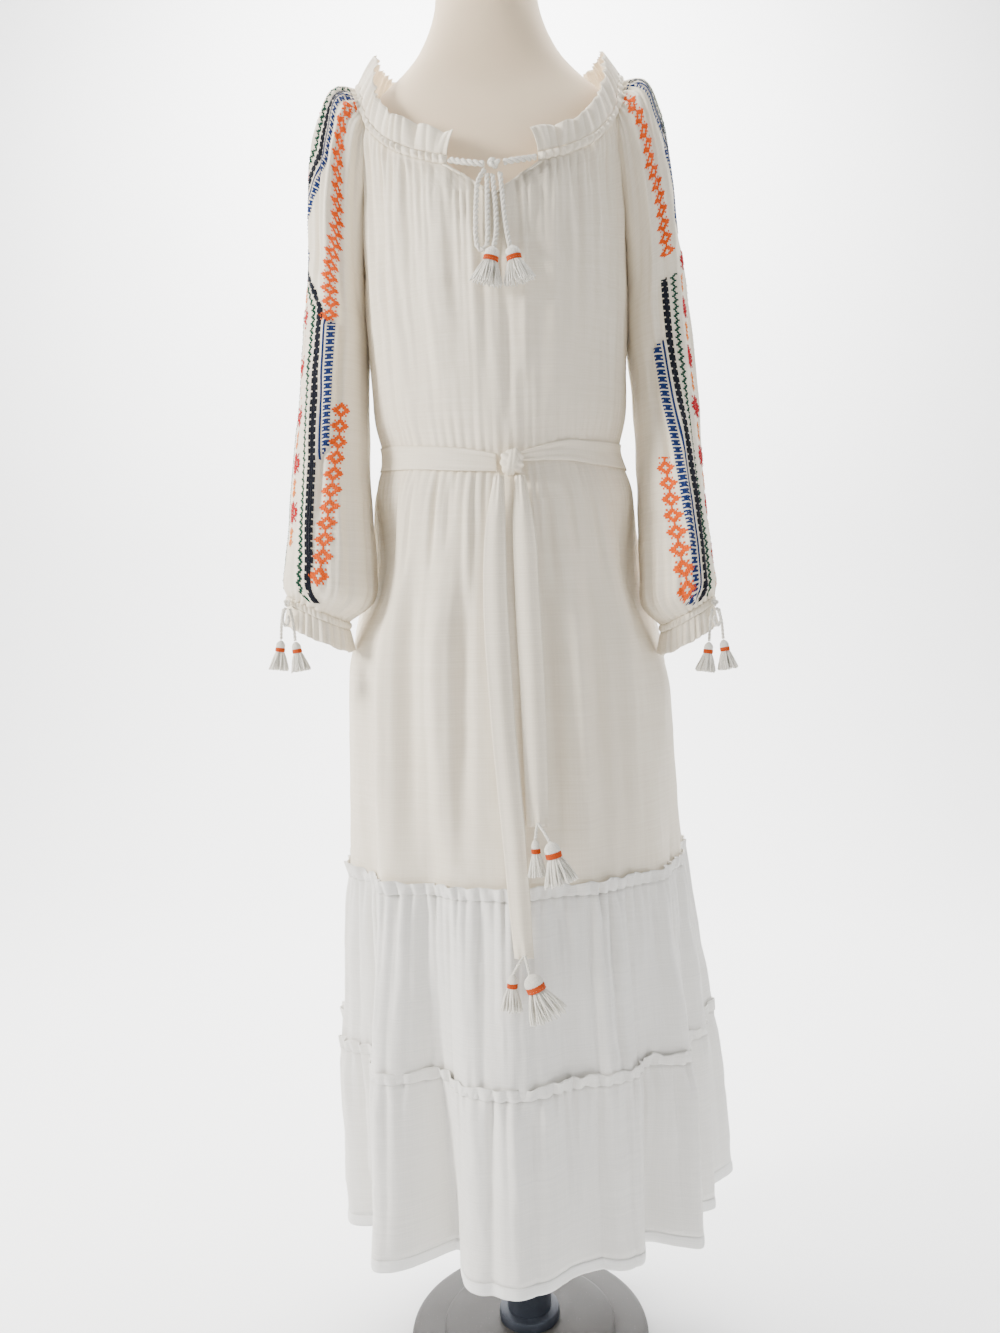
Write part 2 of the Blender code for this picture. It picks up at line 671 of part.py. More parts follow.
def cord(name, points, diameter, finish, group):
    """A plain round cord along a route."""
    route = smooth_route(points, CORD_SPACING * diameter)
    curve = bpy.data.curves.new(name, "CURVE")
    curve.dimensions = "3D"
    curve.bevel_depth = diameter / 2
    curve.bevel_resolution = 2
    curve.use_fill_caps = True
    spline = curve.splines.new("POLY")
    spline.points.add(len(route) - 1)
    for point, place in zip(spline.points, route):
        point.co = (*place, 1.0)
    made = bpy.data.objects.new(name, curve)
    made.data.materials.append(finish)
    group.objects.link(made)
    return made


def panel_route(rows, diameter):
    """Put a route of x, height and stand-off in front of the front panel."""
    clear = CLOTH / 2 + diameter / 2
    return [(x, front_surface_y(x, z) - clear - off, z) for x, z, off in rows]


def knot(name, centre, size, finish, group):
    """A pulled-tight knot: a rounded ball pressed to its size."""
    bpy.ops.mesh.primitive_uv_sphere_add(segments=12, ring_count=8, radius=0.5, location=centre)
    made = bpy.context.active_object
    made.name = name
    made.data.name = name
    made.scale = size
    made.data.materials.append(finish)
    for owner in list(made.users_collection):
        owner.objects.unlink(made)
    group.objects.link(made)
    return made


def turned(name, profile, finish, group, steps=24):
    """A turned solid from a profile of radius and height."""
    mesh = bpy.data.meshes.new(name)
    edges = [(index, index + 1) for index in range(len(profile) - 1)]
    mesh.from_pydata([(radius, 0.0, height) for radius, height in profile], edges, [])
    made = bpy.data.objects.new(name, mesh)
    made.data.materials.append(finish)
    group.objects.link(made)
    screw = made.modifiers.new("turn", "SCREW")
    screw.axis = "Z"
    screw.steps = steps
    screw.render_steps = steps
    screw.use_merge_vertices = True
    screw.merge_threshold = 0.00001
    screw.use_normal_flip = True
    return made


def tassel(name, place, group):
    """A cotton tassel: head, tied waist and a flared skirt, hanging from the top of its head."""
    x, top, y, length, spread, tilt = place
    profile = [(radius * spread * length, -depth * length) for depth, radius in reversed(TASSEL_PROFILE)]
    profile[0] = (0.0, profile[0][1])
    profile[-1] = (0.0, profile[-1][1])
    made = turned(name, profile, tassel_cotton(), group, steps=10)
    made.location = (x, GARMENT_Y + y, top)
    made.rotation_euler = (0.0, -math.radians(tilt), 0.0)
    made.scale = (1.0, TASSEL_FLATNESS, 1.0)
    return made


def make_form(group):
    """The limbless dress form: torso, neck cap, pole, collar and base."""
    angles = np.linspace(-180.0, 180.0, FORM_COLUMNS + 1)[:-1]
    turn = np.radians(angles)
    rings = []
    for height, width, front, behind in FORM_RINGS:
        depth = np.where(np.cos(turn) > 0, front, behind)
        rings.append(np.stack([width * np.sin(turn), GARMENT_Y - depth * np.cos(turn),
                               np.full_like(turn, height)], axis=-1))
    points = np.array(rings)
    rows, columns = points.shape[:2]
    faces = grid_faces(rows, columns, True)
    faces.append(tuple(range(columns)))
    faces.append(tuple(range((rows - 1) * columns, rows * columns)))
    torso = put("form_torso", points.reshape(-1, 3), faces, form_cloth(), group)
    weld(torso)

    cap_low = FORM_RINGS[-1][0] + SEAM_GAP
    cap = turned("form_neck_cap", ((0.0, cap_low), (NECK_CAP_RADIUS, cap_low),
                                   (NECK_CAP_RADIUS, cap_low + NECK_CAP_HEIGHT),
                                   (0.0, cap_low + NECK_CAP_HEIGHT)), form_cloth(), group, 32)
    cap.location = (0.0, GARMENT_Y, 0.0)

    dish_low = DISC_TOP_Z + SEAM_GAP
    collar_low = DISH_TOP_Z + SEAM_GAP
    pole_low = COLLAR_TOP_Z + SEAM_GAP
    pole_top = FORM_RINGS[0][0] - SEAM_GAP
    turned("base_disc", ((0.0, 0.0), (BASE_RADIUS - 0.002, 0.0), (BASE_RADIUS, 0.002),
                         (BASE_RADIUS, DISC_TOP_Z - 0.0055),
                         (BASE_RADIUS - 0.004, DISC_TOP_Z - 0.0025),
                         (DISH_RADIUS + 0.002, DISC_TOP_Z), (0.0, DISC_TOP_Z)), base_paint(), group, 48)
    turned("base_dish", ((0.0, dish_low), (DISH_RADIUS, dish_low), (DISH_RADIUS, DISH_TOP_Z - 0.0065),
                         (DISH_RADIUS - 0.004, DISH_TOP_Z - 0.0045),
                         (COLLAR_RADIUS + 0.004, DISH_TOP_Z), (0.0, DISH_TOP_Z)), base_paint(), group, 48)
    turned("stand_collar", ((0.0, collar_low), (COLLAR_RADIUS, collar_low),
                            (COLLAR_RADIUS, COLLAR_TOP_Z - 0.004), (COLLAR_RADIUS - 0.004, COLLAR_TOP_Z),
                            (0.0, COLLAR_TOP_Z)), pole_paint(), group, 32)
    turned("stand_pole", ((0.0, pole_low), (POLE_RADIUS, pole_low), (POLE_RADIUS, pole_top),
                          (0.0, pole_top)), pole_paint(), group, 32)



def make_body(group):
    """Front and back panels."""
    left = front_half(-1.0)[:, ::-1]
    right = front_half(1.0)
    both = np.concatenate([left, right], axis=1)
    rows, columns = both.shape[:2]
    half = PANEL_COLUMNS // 2
    faces = [face for face in grid_faces(rows, columns, False) if face[0] % columns != half]
    front = put("front_panel", both.reshape(-1, 3), faces, linen(), group)
    weld(front)
    solid = front.modifiers.new("wall", "SOLIDIFY")
    solid.thickness = CLOTH
    solid.offset = 0.0
    sheet("back_panel", back_points(), linen(), group)


def make_neck(group):
    """Casing, standing ruffle and slit bindings."""
    casing = neck_band(-CASING_HEIGHT, 0.0, CASING_OUT, CASING_OUT, 0, 0.0, BAND_COLUMNS, 2)
    sheet("neck_casing", casing, linen(), group, wall=CASING_WALL)
    ruffle = neck_band(2 * SEAM_GAP, RUFFLE_HEIGHT, CASING_OUT, 0.0, RUFFLE_WAVES, RUFFLE_WAVE_OUT,
                       BAND_COLUMNS, 2)
    sheet("neck_ruffle", ruffle, linen(), group)


def make_slit(group):
    """Bound edges of the slit, laid on the panel's edges."""
    for side, name in ((-1.0, "slit_binding_left"), (1.0, "slit_binding_right")):
        heights = np.linspace(float(neckline_height(SLIT_TOP_ANGLE)) - CASING_HEIGHT - 0.001,
                              SLIT_BOTTOM_Z + 0.001, 6)
        inner = body_point(side * (slit_angle(heights) + 0.25), heights, CLOTH + 0.0008)
        outer = body_point(side * (slit_angle(heights) + 2.3), heights, CLOTH + 0.0008)
        sheet(name, np.stack([inner, outer], axis=1), linen(), group, wall=CLOTH)


def make_sleeves(group):
    """Sleeves, cuff casings, cuff ruffles and their ties."""
    for side_name in ("left", "right"):
        side = -1.0 if side_name == "left" else 1.0
        sheet("sleeve_" + side_name, sleeve_points(side_name), linen(), group, welded=True)
        casing = np.array([cuff_ring(side_name, drop, 0.0, 0, SLEEVE_COLUMNS)
                           for drop in (SEAM_GAP * 2, CUFF_CASING_DROP)])
        sheet("cuff_casing_" + side_name, casing, linen(), group, wall=CASING_WALL, closed=True)
        ruffle = np.array([cuff_ring(side_name, drop, swell, CUFF_RUFFLE_WAVES, CUFF_RUFFLE_WAVES * 2)
                           for drop, swell in ((CUFF_CASING_DROP + SEAM_GAP * 2, 0.0005),
                                               (CUFF_CASING_DROP + CUFF_RUFFLE_DROP, CUFF_RUFFLE_SWELL))])
        sheet("cuff_ruffle_" + side_name, ruffle, linen(), group, closed=True)
        make_cuff_tie(side_name, side, group)


def make_cuff_tie(side_name, side, group):
    """The small cord tie at the front of a cuff's outer side, with two tassels."""
    outer_x, outer_z, middle_y = SLEEVE_RINGS[side_name][-1][2:5]
    x = outer_x + CUFF_TIE_SHIFT[0]
    y = GARMENT_Y + middle_y + CUFF_TIE_SHIFT[1]
    z = outer_z + CUFF_TIE_SHIFT[2]
    size = (CUFF_KNOT_SIZE, CUFF_KNOT_SIZE, CUFF_KNOT_SIZE)
    knot("cuff_tie_knot_" + side_name, (side * x, y, z), size, cotton_cord(), group)
    cord("cuff_tie_loop_" + side_name, [(side * (x + a), y + b, z + c) for a, b, c in CUFF_LOOP],
         CUFF_CORD_DIAMETER, cotton_cord(), group)
    for letter, shift, drop in CUFF_ENDS:
        route = [(side * (x + shift * share), y + CUFF_END_Y, z - fall)
                 for share, fall in ((0.45, 0.0060), (0.80, drop / 2), (1.00, drop))]
        cord("cuff_tie_cord_" + letter + "_" + side_name, route, CUFF_CORD_DIAMETER, cotton_cord(), group)
        tilt = CUFF_TASSEL_TILT * side * np.sign(shift)
        place = (side * (x + shift), z - drop - SEAM_GAP, y + CUFF_END_Y - GARMENT_Y,
                 CUFF_TASSEL_LENGTH, CUFF_TASSEL_SPREAD, tilt)
        tassel("cuff_tassel_" + letter + "_" + side_name, place, group)


def make_bow(group):
    """Drawstring ends, bow knot, hanging cords and neck tassels."""
    for name, rows in DRAWSTRING_ROUTES.items():
        cord(name, panel_route(rows, DRAWSTRING_DIAMETER), DRAWSTRING_DIAMETER, linen(), group)
    for name, rows in BOW_ROUTES.items():
        cord(name, panel_route(rows, CORD_DIAMETER), CORD_DIAMETER, cotton_cord(), group)
    x, z = BOW_KNOT
    knot("bow_knot", (x, front_surface_y(x, z) - BOW_KNOT_OUT, z), BOW_KNOT_SIZE, linen(), group)


def make_belt(group):
    """Belt round the waist, its knot and its two tails."""
    angles = np.linspace(BELT_ENDS[0], BELT_ENDS[1], BAND_COLUMNS + 1)
    rows = [body_point(angles, belt_height(angles) + rise * BELT_WIDTH, BELT_CLEAR)
            for rise in (0.5, 0.0, -0.5)]
    sheet("belt_band", np.array(rows), linen(), group, wall=BELT_WALL)
    x, z = BELT_KNOT
    knot("belt_knot", (x, front_surface_y(x, z) - BELT_KNOT_OUT, z), BELT_KNOT_SIZE, linen(), group)
    for name, table in BELT_TAILS.items():
        heights = smooth_heights(table)
        middle = read_table(table, heights, 1)
        width = read_table(table, heights, 2)
        y = read_table(table, heights, 3) + GARMENT_Y
        strip = [np.stack([middle + share * width, y, heights], axis=-1) for share in (-0.5, 0.0, 0.5)]
        sheet(name, np.stack(strip, axis=1), linen(), group, wall=BELT_WALL)


def smooth_heights(table):
    """Heights down a belt tail, evenly spaced."""
    return np.linspace(table[0][0], table[-1][0], BELT_TAIL_ROWS)


def make_skirt(group):
    """Two tiers with their headings, and the hem."""
    for name, high, low, count in (("tier_1", TIER_1_TOP_Z, TIER_2_TOP_Z, 5),
                                   ("tier_2", TIER_2_TOP_Z, HEM_TOP_Z, 5)):
        heights = np.linspace(high - SEAM_GAP, low, count)
        rows = np.array([skirt_ring(height) for height in heights])
        sheet(name, rows, linen(), group, closed=True)
        heading = np.array([skirt_ring(high - HEADING_LAP, HEADING_CLEAR),
                            skirt_ring(high + HEADING_HEIGHT, HEADING_CLEAR + HEADING_FLARE,
                                       HEADING_WAVE_OUT, HEADING_WAVES)])
        sheet(name + "_heading", heading, linen(), group, closed=True)
    hem = np.array([skirt_ring(HEM_TOP_Z - SEAM_GAP), skirt_ring(HEM_Z)])
    sheet("hem_band", hem, whiter_linen(), group, wall=HEM_WALL, closed=True)


def main():
    clear_scene()
    group = collection_named("peasant_dress_on_form")
    make_form(group)
    make_body(group)
    make_neck(group)
    make_slit(group)
    make_sleeves(group)
    make_bow(group)
    make_belt(group)
    make_skirt(group)
    for name, place in TASSELS.items():
        tassel(name, place, group)


main()
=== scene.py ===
"""Peasant dress on a dress form: cloth, embroidery, cords, tassels, form and stage.

Every shape is a numpy surface in metres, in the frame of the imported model:
+Z up, the front faces -Y, left is -X and right is +X as seen from the front.
"""
import math

import bmesh
import bpy
import numpy as np
from mathutils import Matrix, Vector


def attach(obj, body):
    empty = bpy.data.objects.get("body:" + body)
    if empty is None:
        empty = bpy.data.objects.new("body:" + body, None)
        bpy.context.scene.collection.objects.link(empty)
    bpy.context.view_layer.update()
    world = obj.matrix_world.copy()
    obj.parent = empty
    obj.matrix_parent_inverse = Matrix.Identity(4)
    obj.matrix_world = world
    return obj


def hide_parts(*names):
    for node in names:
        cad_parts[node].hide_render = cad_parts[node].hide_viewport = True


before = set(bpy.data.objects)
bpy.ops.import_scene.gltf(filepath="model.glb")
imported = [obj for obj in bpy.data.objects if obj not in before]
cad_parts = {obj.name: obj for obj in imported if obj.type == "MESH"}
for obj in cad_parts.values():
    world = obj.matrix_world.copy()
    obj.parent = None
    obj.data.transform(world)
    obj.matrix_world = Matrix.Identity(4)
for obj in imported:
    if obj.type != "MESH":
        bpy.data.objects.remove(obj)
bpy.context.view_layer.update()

bl_info = {
    "name": "Peasant Dress on a Dress Form",
    "version": (1, 0, 0),
    "blender": (4, 5, 0),
    "location": "View3D > Sidebar > Dress",
    "description": "Builds a gathered linen dress with embroidered sleeves on a dress form",
    "category": "Object",
}

# ---------------------------------------------------------------- garment sizes
GARMENT_Y = -0.030
LATTICE_ROWS = 97            # rows after which the smooth noise repeats
UNDERARM_Z = 1.200
TIER_1_TOP_Z = 0.600
TIER_2_TOP_Z = 0.400
HEM_TOP_Z = 0.2033
HEM_Z = 0.190
CASING_HEIGHT = 0.010
RUFFLE_HEIGHT = 0.026
SLIT_BOTTOM_Z = 1.315
SLIT_TOP_ANGLE = 18.0
FRONT_SEAM_TOP = 62.0
BACK_SEAM_TOP = 60.0
BELT_FRONT_Z = 1.043
BELT_SIDE_RISE = 0.034
BELT_CINCH = 0.009
BELT_CINCH_REACH = 0.030

# Neckline: angle in degrees from the front middle, height
NECKLINE = (
    (0, 1.357), (18, 1.361), (29, 1.371), (41, 1.386), (50, 1.401), (62, 1.428),
    (72, 1.461), (82, 1.484), (90, 1.489), (110, 1.494), (140, 1.487), (180, 1.480),
)

# Body rings: height, half width, depth in front, depth behind
BODY_RINGS = (
    (1.500, 0.1440, 0.106, 0.082), (1.430, 0.1490, 0.108, 0.092), (1.360, 0.1500, 0.111, 0.104),
    (1.300, 0.1500, 0.124, 0.108), (1.240, 0.1490, 0.132, 0.105), (1.180, 0.1460, 0.131, 0.100),
    (1.120, 0.1440, 0.127, 0.096), (1.060, 0.1440, 0.124, 0.097), (1.000, 0.1540, 0.130, 0.108),
    (0.930, 0.1660, 0.139, 0.126), (0.860, 0.1800, 0.147, 0.140), (0.740, 0.1870, 0.153, 0.150),
    (0.600, 0.1910, 0.158, 0.156), (0.400, 0.2060, 0.158, 0.164), (0.190, 0.2080, 0.140, 0.168),
)

# Raglan seams: height, angle of the front seam, angle of the back seam from the back middle
RAGLAN_SEAMS = (
    (1.481, 58.0, 60.0), (1.418, 62.0, 64.0), (1.340, 69.0, 71.0), (1.260, 78.0, 79.0),
    (1.200, 90.0, 90.0),
)

# Soft folds of the body: angle, half width in degrees, out at the chest, out at the hip
BODY_FOLDS = (
    (-66, 10, 0.002, 0.003), (-44, 10, 0.005, 0.006), (-22, 9, 0.004, 0.007), (0, 9, 0.000, 0.005),
    (22, 9, 0.005, 0.006), (44, 10, 0.004, 0.007), (66, 10, 0.002, 0.003), (104, 12, 0.002, 0.006),
    (128, 11, 0.004, 0.007), (152, 10, 0.005, 0.006), (180, 11, 0.003, 0.007),
    (208, 10, 0.005, 0.006),
    (232, 11, 0.004, 0.007), (256, 12, 0.002, 0.006),
)

# Hollow that each hanging sleeve presses into the skirt: angle, half width, depth, height, reach
SLEEVE_HOLLOWS = ((-72, 36, 0.025, 0.943, 0.115), (72, 36, 0.024, 0.915, 0.125))

# Flutes of the tiers at the hem: angle in degrees, outwards, sideways to the right
HEM_FLUTES = (
    (-93, -0.024, 0.000), (-78, 0.006, 0.004), (-60, -0.040, -0.004), (-38, 0.026, -0.004),
    (-27, -0.038, 0.003), (-14, 0.028, -0.006), (2, 0.030, 0.000), (18, 0.001, 0.004),
    (33, 0.012, 0.000), (43, -0.024, 0.002), (52, 0.028, -0.002), (66, -0.020, 0.000),
    (78, 0.016, 0.003), (88, -0.010, 0.000), (101, 0.050, 0.004), (117, -0.024, 0.000),
    (131, 0.026, 0.004), (146, -0.026, 0.000), (161, 0.032, 0.003), (176, -0.024, 0.000),
    (191, 0.028, -0.003), (207, -0.026, 0.000), (222, 0.030, -0.004), (237, -0.022, 0.000),
    (252, 0.022, 0.000),
)
FLUTE_SHARES = ((0.860, 0.0), (0.600, 0.22), (0.400, 0.58), (0.190, 1.0))

# Sleeve above the underarm: share of the way down, crown x, crown height, half depth
SLEEVE_CROWN = {
    "left": (
        (0.00, 0.1440, 1.489, 0.056), (0.12, 0.1720, 1.481, 0.052), (0.30, 0.1930, 1.445, 0.058),
        (0.52, 0.2050, 1.385, 0.065), (0.76, 0.2090, 1.300, 0.066), (1.00, 0.2200, 1.200, 0.065),
    ),
    "right": (
        (0.00, 0.1440, 1.489, 0.056), (0.12, 0.1720, 1.479, 0.052), (0.30, 0.1890, 1.445, 0.058),
        (0.52, 0.1990, 1.385, 0.065), (0.76, 0.2070, 1.300, 0.066), (1.00, 0.2160, 1.200, 0.065),
    ),
}

# Sleeve below the underarm: inner x, inner z, outer x, outer z, middle y, half depth
SLEEVE_RINGS = {
    "left": (
        (0.1490, 1.140, 0.2260, 1.140, -0.006, 0.065),
        (0.1500, 1.070, 0.2320, 1.070, -0.020, 0.066),
        (0.1480, 1.000, 0.2360, 1.003, -0.038, 0.066),
        (0.1450, 0.945, 0.2395, 0.952, -0.054, 0.062),
        (0.1500, 0.903, 0.2410, 0.925, -0.062, 0.052),
        (0.1740, 0.8845, 0.2375, 0.9160, -0.066, 0.034),
    ),
    "right": (
        (0.1520, 1.140, 0.2190, 1.140, -0.006, 0.065),
        (0.1530, 1.060, 0.2220, 1.060, -0.020, 0.066),
        (0.1520, 0.990, 0.2240, 0.990, -0.038, 0.066),
        (0.1500, 0.930, 0.2265, 0.938, -0.054, 0.062),
        (0.1520, 0.888, 0.2270, 0.912, -0.062, 0.052),
        (0.1690, 0.8700, 0.2245, 0.9010, -0.066, 0.034),
    ),
}
CUFF_CASING_DROP = 0.0085
CUFF_RUFFLE_DROP = 0.0260

# Dress form: height, half width, depth in front, depth behind
FORM_RINGS = (
    (0.720, 0.140, 0.096, 0.100), (0.760, 0.150, 0.108, 0.112), (0.860, 0.152, 0.112, 0.116),
    (0.950, 0.130, 0.099, 0.102), (1.040, 0.118, 0.092, 0.080), (1.090, 0.116, 0.092, 0.077),
    (1.160, 0.124, 0.102, 0.080), (1.240, 0.131, 0.116, 0.086), (1.300, 0.134, 0.106, 0.090),
    (1.360, 0.140, 0.088, 0.088), (1.410, 0.148, 0.073, 0.078), (1.445, 0.148, 0.060, 0.068),
    (1.466, 0.130, 0.053, 0.061), (1.486, 0.106, 0.050, 0.057), (1.506, 0.086, 0.050, 0.056),
    (1.530, 0.071, 0.051, 0.056), (1.560, 0.060, 0.052, 0.055), (1.600, 0.0565, 0.052, 0.054),
    (1.620, 0.0560, 0.052, 0.054),
)

# Belt: angle, width, rise of its middle over the belt line; it narrows into the knot
BELT_SECTIONS = (
    (3, 0.008, 0.003), (14, 0.014, 0.004), (30, 0.022, 0.004), (42, 0.0245, 0.000),
    (180, 0.0245, 0.000),
    (318, 0.0245, 0.000), (345, 0.022, 0.000), (358, 0.017, 0.000),
)

BELT_KNOT = (0.0095, 1.0430)     # x, height

# Belt tails: height, middle x, width, y from the garment's axis
BELT_TAILS = {
    "belt_tail_left": (
        (1.028, -0.0050, 0.010, -0.1385), (0.980, -0.0095, 0.020, -0.1420),
        (0.900, -0.0110, 0.025, -0.1540),
        (0.780, -0.0080, 0.0245, -0.1680), (0.660, -0.0010, 0.0235, -0.1800),
        (0.600, 0.0020, 0.022, -0.1850),
        (0.545, 0.0050, 0.0190, -0.1880),
    ),
    "belt_tail_right": (
        (1.028, 0.0170, 0.010, -0.1345), (0.980, 0.0200, 0.022, -0.1400),
        (0.900, 0.0205, 0.025, -0.1520),
        (0.780, 0.0220, 0.025, -0.1640), (0.674, 0.0225, 0.0230, -0.1740),
    ),
}

# Cord routes on the front panel: x, height, stand-off of the cord's side from the cloth
CORD_DIAMETER = 0.0050
DRAWSTRING_DIAMETER = 0.0060
CUFF_CORD_DIAMETER = 0.0032
BOW_KNOT = (0.001, 1.3445)       # x, height
BOW_ROUTES = {
    "bow_cord_left": (
        (-0.0080, 1.3400, 0.004), (-0.0150, 1.3280, 0.004), (-0.0180, 1.3060, 0.003),
        (-0.0192, 1.2840, 0.003), (-0.0192, 1.2660, 0.003), (-0.0178, 1.2575, 0.003),
        (-0.0135, 1.2538, 0.003), (-0.0092, 1.2575, 0.003), (-0.0078, 1.2660, 0.003),
        (-0.0072, 1.2880, 0.003), (-0.0066, 1.3120, 0.003), (-0.0062, 1.3350, 0.004),
    ),
    "bow_cord_middle": (
        (-0.0008, 1.3340, 0.004), (0.0005, 1.3120, 0.003), (0.0015, 1.2880, 0.003),
        (0.0006, 1.2670, 0.0045),
        (-0.0022, 1.2532, 0.0085),
    ),
    "bow_cord_right": (
        (0.0070, 1.3360, 0.004), (0.0085, 1.3120, 0.003), (0.0100, 1.2880, 0.003),
        (0.0125, 1.2670, 0.0045),
        (0.0148, 1.2537, 0.0085),
    ),
}
DRAWSTRING_ROUTES = {
    "drawstring_left": (
        (-0.0455, 1.3560, -0.003), (-0.0360, 1.3520, 0.001), (-0.0240, 1.3478, 0.004),
        (-0.0085, 1.3445, 0.005),
    ),
    "drawstring_right": (
        (0.0455, 1.3560, -0.003), (0.0360, 1.3525, 0.001), (0.0240, 1.3490, 0.004),
        (0.0105, 1.3460, 0.005),
    ),
}

# Cuff ties, mirrored on the right sleeve: the knot from the outer end of the sleeve's last ring,
# the loop from the knot, and the two ends: letter, outwards, down
CUFF_TIE_SHIFT = (-0.0035, -0.0300, -0.0090)
CUFF_LOOP = (
    (0.0005, -0.0055, -0.0048), (0.0032, -0.0080, -0.0130), (0.0036, -0.0080, -0.0205),
    (0.0006, -0.0080, -0.0244), (-0.0024, -0.0080, -0.0205), (-0.0020, -0.0080, -0.0130),
)
CUFF_ENDS = (("a", 0.0075, 0.039), ("b", -0.0075, 0.041))
CUFF_END_Y = -0.0030

# Hanging tassels: x, height of the head's top, y from the garment's axis, length, spread, tilt
TASSELS = {
    "neck_tassel_left": (-0.0024, 1.2526, -0.1490, 0.038, 1.00, -14.0),
    "neck_tassel_right": (0.0152, 1.2531, -0.1490, 0.038, 1.00, 12.0),
    "belt_tassel_left_a": (0.0090, 0.5360, -0.2060, 0.048, 1.00, 22.0),
    "belt_tassel_left_b": (-0.0075, 0.5330, -0.1950, 0.038, 0.65, -4.0),
    "belt_tassel_right_a": (0.0330, 0.6640, -0.1980, 0.044, 0.90, 14.0),
    "belt_tassel_right_b": (0.0190, 0.6640, -0.1850, 0.038, 0.55, 2.0),
}
TASSEL_FLATNESS = 0.6
TASSEL_HEAD = 0.34           # share of a tassel's length above its skirt

# ---------------------------------------------------------------- embroidery
CELL = 0.0020                # one cross stitch
STAR = (
    ".....#.....",
    "..#.###.#..",
    "...#####...",
    ".####.####.",
    "####...####",
    ".####.####.",
    "...#####...",
    "..#.###.#..",
    ".....#.....",
)
FLOWER = (
    ".....#.....",
    ".#..###..#.",
    "..#.###.#..",
    "...#####...",
    ".####.####.",
    "###.###.###",
    ".##.#.#.##.",
    "###.###.###",
    ".####.####.",
    "...#####...",
    "..#.###.#..",
    ".#..###..#.",
    ".....#.....",
)
SPRIG = (
    "..#..",
    ".#.#.",
    "#.#.#",
    ".###.",
    "..#..",
    ".###.",
    "..#..",
    ".###.",
    "#.#.#",
    ".#.#.",
    "..#..",
)
ZIGZAG = ("##..", ".##.", "..##", ".##.")
CHAIN = ("####", "####", "####", ".##.")
LINE = ("#",)
BOBBIN = ("####", ".##.", "####", "....")

# Bands each side of the sleeve's middle line: name, chart, middle of the band from the middle line
SIDE_BANDS = (
    ("green", ZIGZAG, 0.0215), ("black", CHAIN, 0.0325), ("blue", LINE, 0.0405),
    ("blue", BOBBIN, 0.0475),
)

STITCH_HALF = CELL * 0.56    # half of a stitch, which overlaps the next one
STITCH_FOOT = 0.00035        # a stitch's corners stand this far off the cloth
STITCH_TOP = 0.00110         # and its middle this far

STAR_PLACE = 0.0980          # middle of the star chains on the cloth, from the middle line

# How the cloth lies round each sleeve, in metres: share down, shift of the middle line to the
# front,
# where the cloth tucks under on the front, strength of the tuck, place of the front star chain,
# and
# 1 where that chain is outside the tuck
SLEEVE_LAY = {
    "left": (
        (0.00, 0.004, 0.060, 0.2, 0.050, 1), (0.06, 0.014, 0.060, 0.2, 0.079, 1),
        (0.12, 0.024, 0.060, 0.2, 0.091, 1),
        (0.16, 0.028, 0.060, 0.0, 0.097, 1), (0.20, 0.019, 0.060, 0.0, 0.101, 1),
        (0.25, 0.006, 0.060, 0.0, 0.101, 1),
        (0.30, -0.008, 0.060, 0.0, 0.095, 1), (0.345, -0.013, 0.060, 0.0, 0.087, 1),
        (0.39, 0.004, 0.0375, 0.0, 0.082, 1), (0.43, 0.022, 0.0375, 0.2, 0.081, 1),
        (0.47, 0.037, 0.0375, 0.5, 0.083, 1), (0.495, 0.038, 0.0375, 0.6, 0.080, 1),
        (0.510, 0.037, 0.056, 1.0, 0.080, 0), (0.60, 0.037, 0.056, 1.0, 0.091, 0),
        (0.645, 0.038, 0.056, 0.9, 0.102, 0),
        (0.655, 0.038, 0.056, 0.9, 0.102, 1), (0.72, 0.040, 0.055, 0.8, 0.102, 1),
        (0.76, 0.042, 0.038, 0.8, 0.0995, 1),
        (0.84, 0.042, 0.037, 0.8, 0.095, 1), (0.93, 0.041, 0.036, 0.8, 0.088, 1),
        (1.00, 0.034, 0.034, 0.6, 0.072, 1),
    ),
    "right": (
        (0.00, -0.002, 0.060, 0.2, 0.045, 1), (0.05, 0.004, 0.060, 0.2, 0.080, 1),
        (0.12, 0.007, 0.060, 0.2, 0.084, 1),
        (0.16, 0.000, 0.060, 0.0, 0.088, 1), (0.20, -0.010, 0.060, 0.0, 0.083, 1),
        (0.26, -0.018, 0.060, 0.0, 0.078, 1),
        (0.30, -0.014, 0.060, 0.0, 0.076, 1), (0.34, 0.006, 0.012, 0.0, 0.073, 1),
        (0.365, 0.022, 0.012, 0.2, 0.072, 1),
        (0.375, 0.028, 0.012, 0.4, 0.072, 0), (0.41, 0.043, 0.012, 0.6, 0.074, 0),
        (0.42, 0.045, 0.037, 0.6, 0.076, 0),
        (0.54, 0.045, 0.038, 0.8, 0.086, 0),
        (0.56, 0.044, 0.057, 1.0, 0.088, 0), (0.65, 0.040, 0.057, 1.0, 0.092, 0),
        (0.745, 0.034, 0.057, 0.9, 0.098, 0),
        (0.755, 0.034, 0.057, 0.9, 0.098, 1), (0.84, 0.031, 0.057, 0.8, 0.094, 1),
        (0.92, 0.026, 0.057, 0.6, 0.088, 1), (1.00, 0.016, 0.057, 0.4, 0.070, 1),
    ),
}


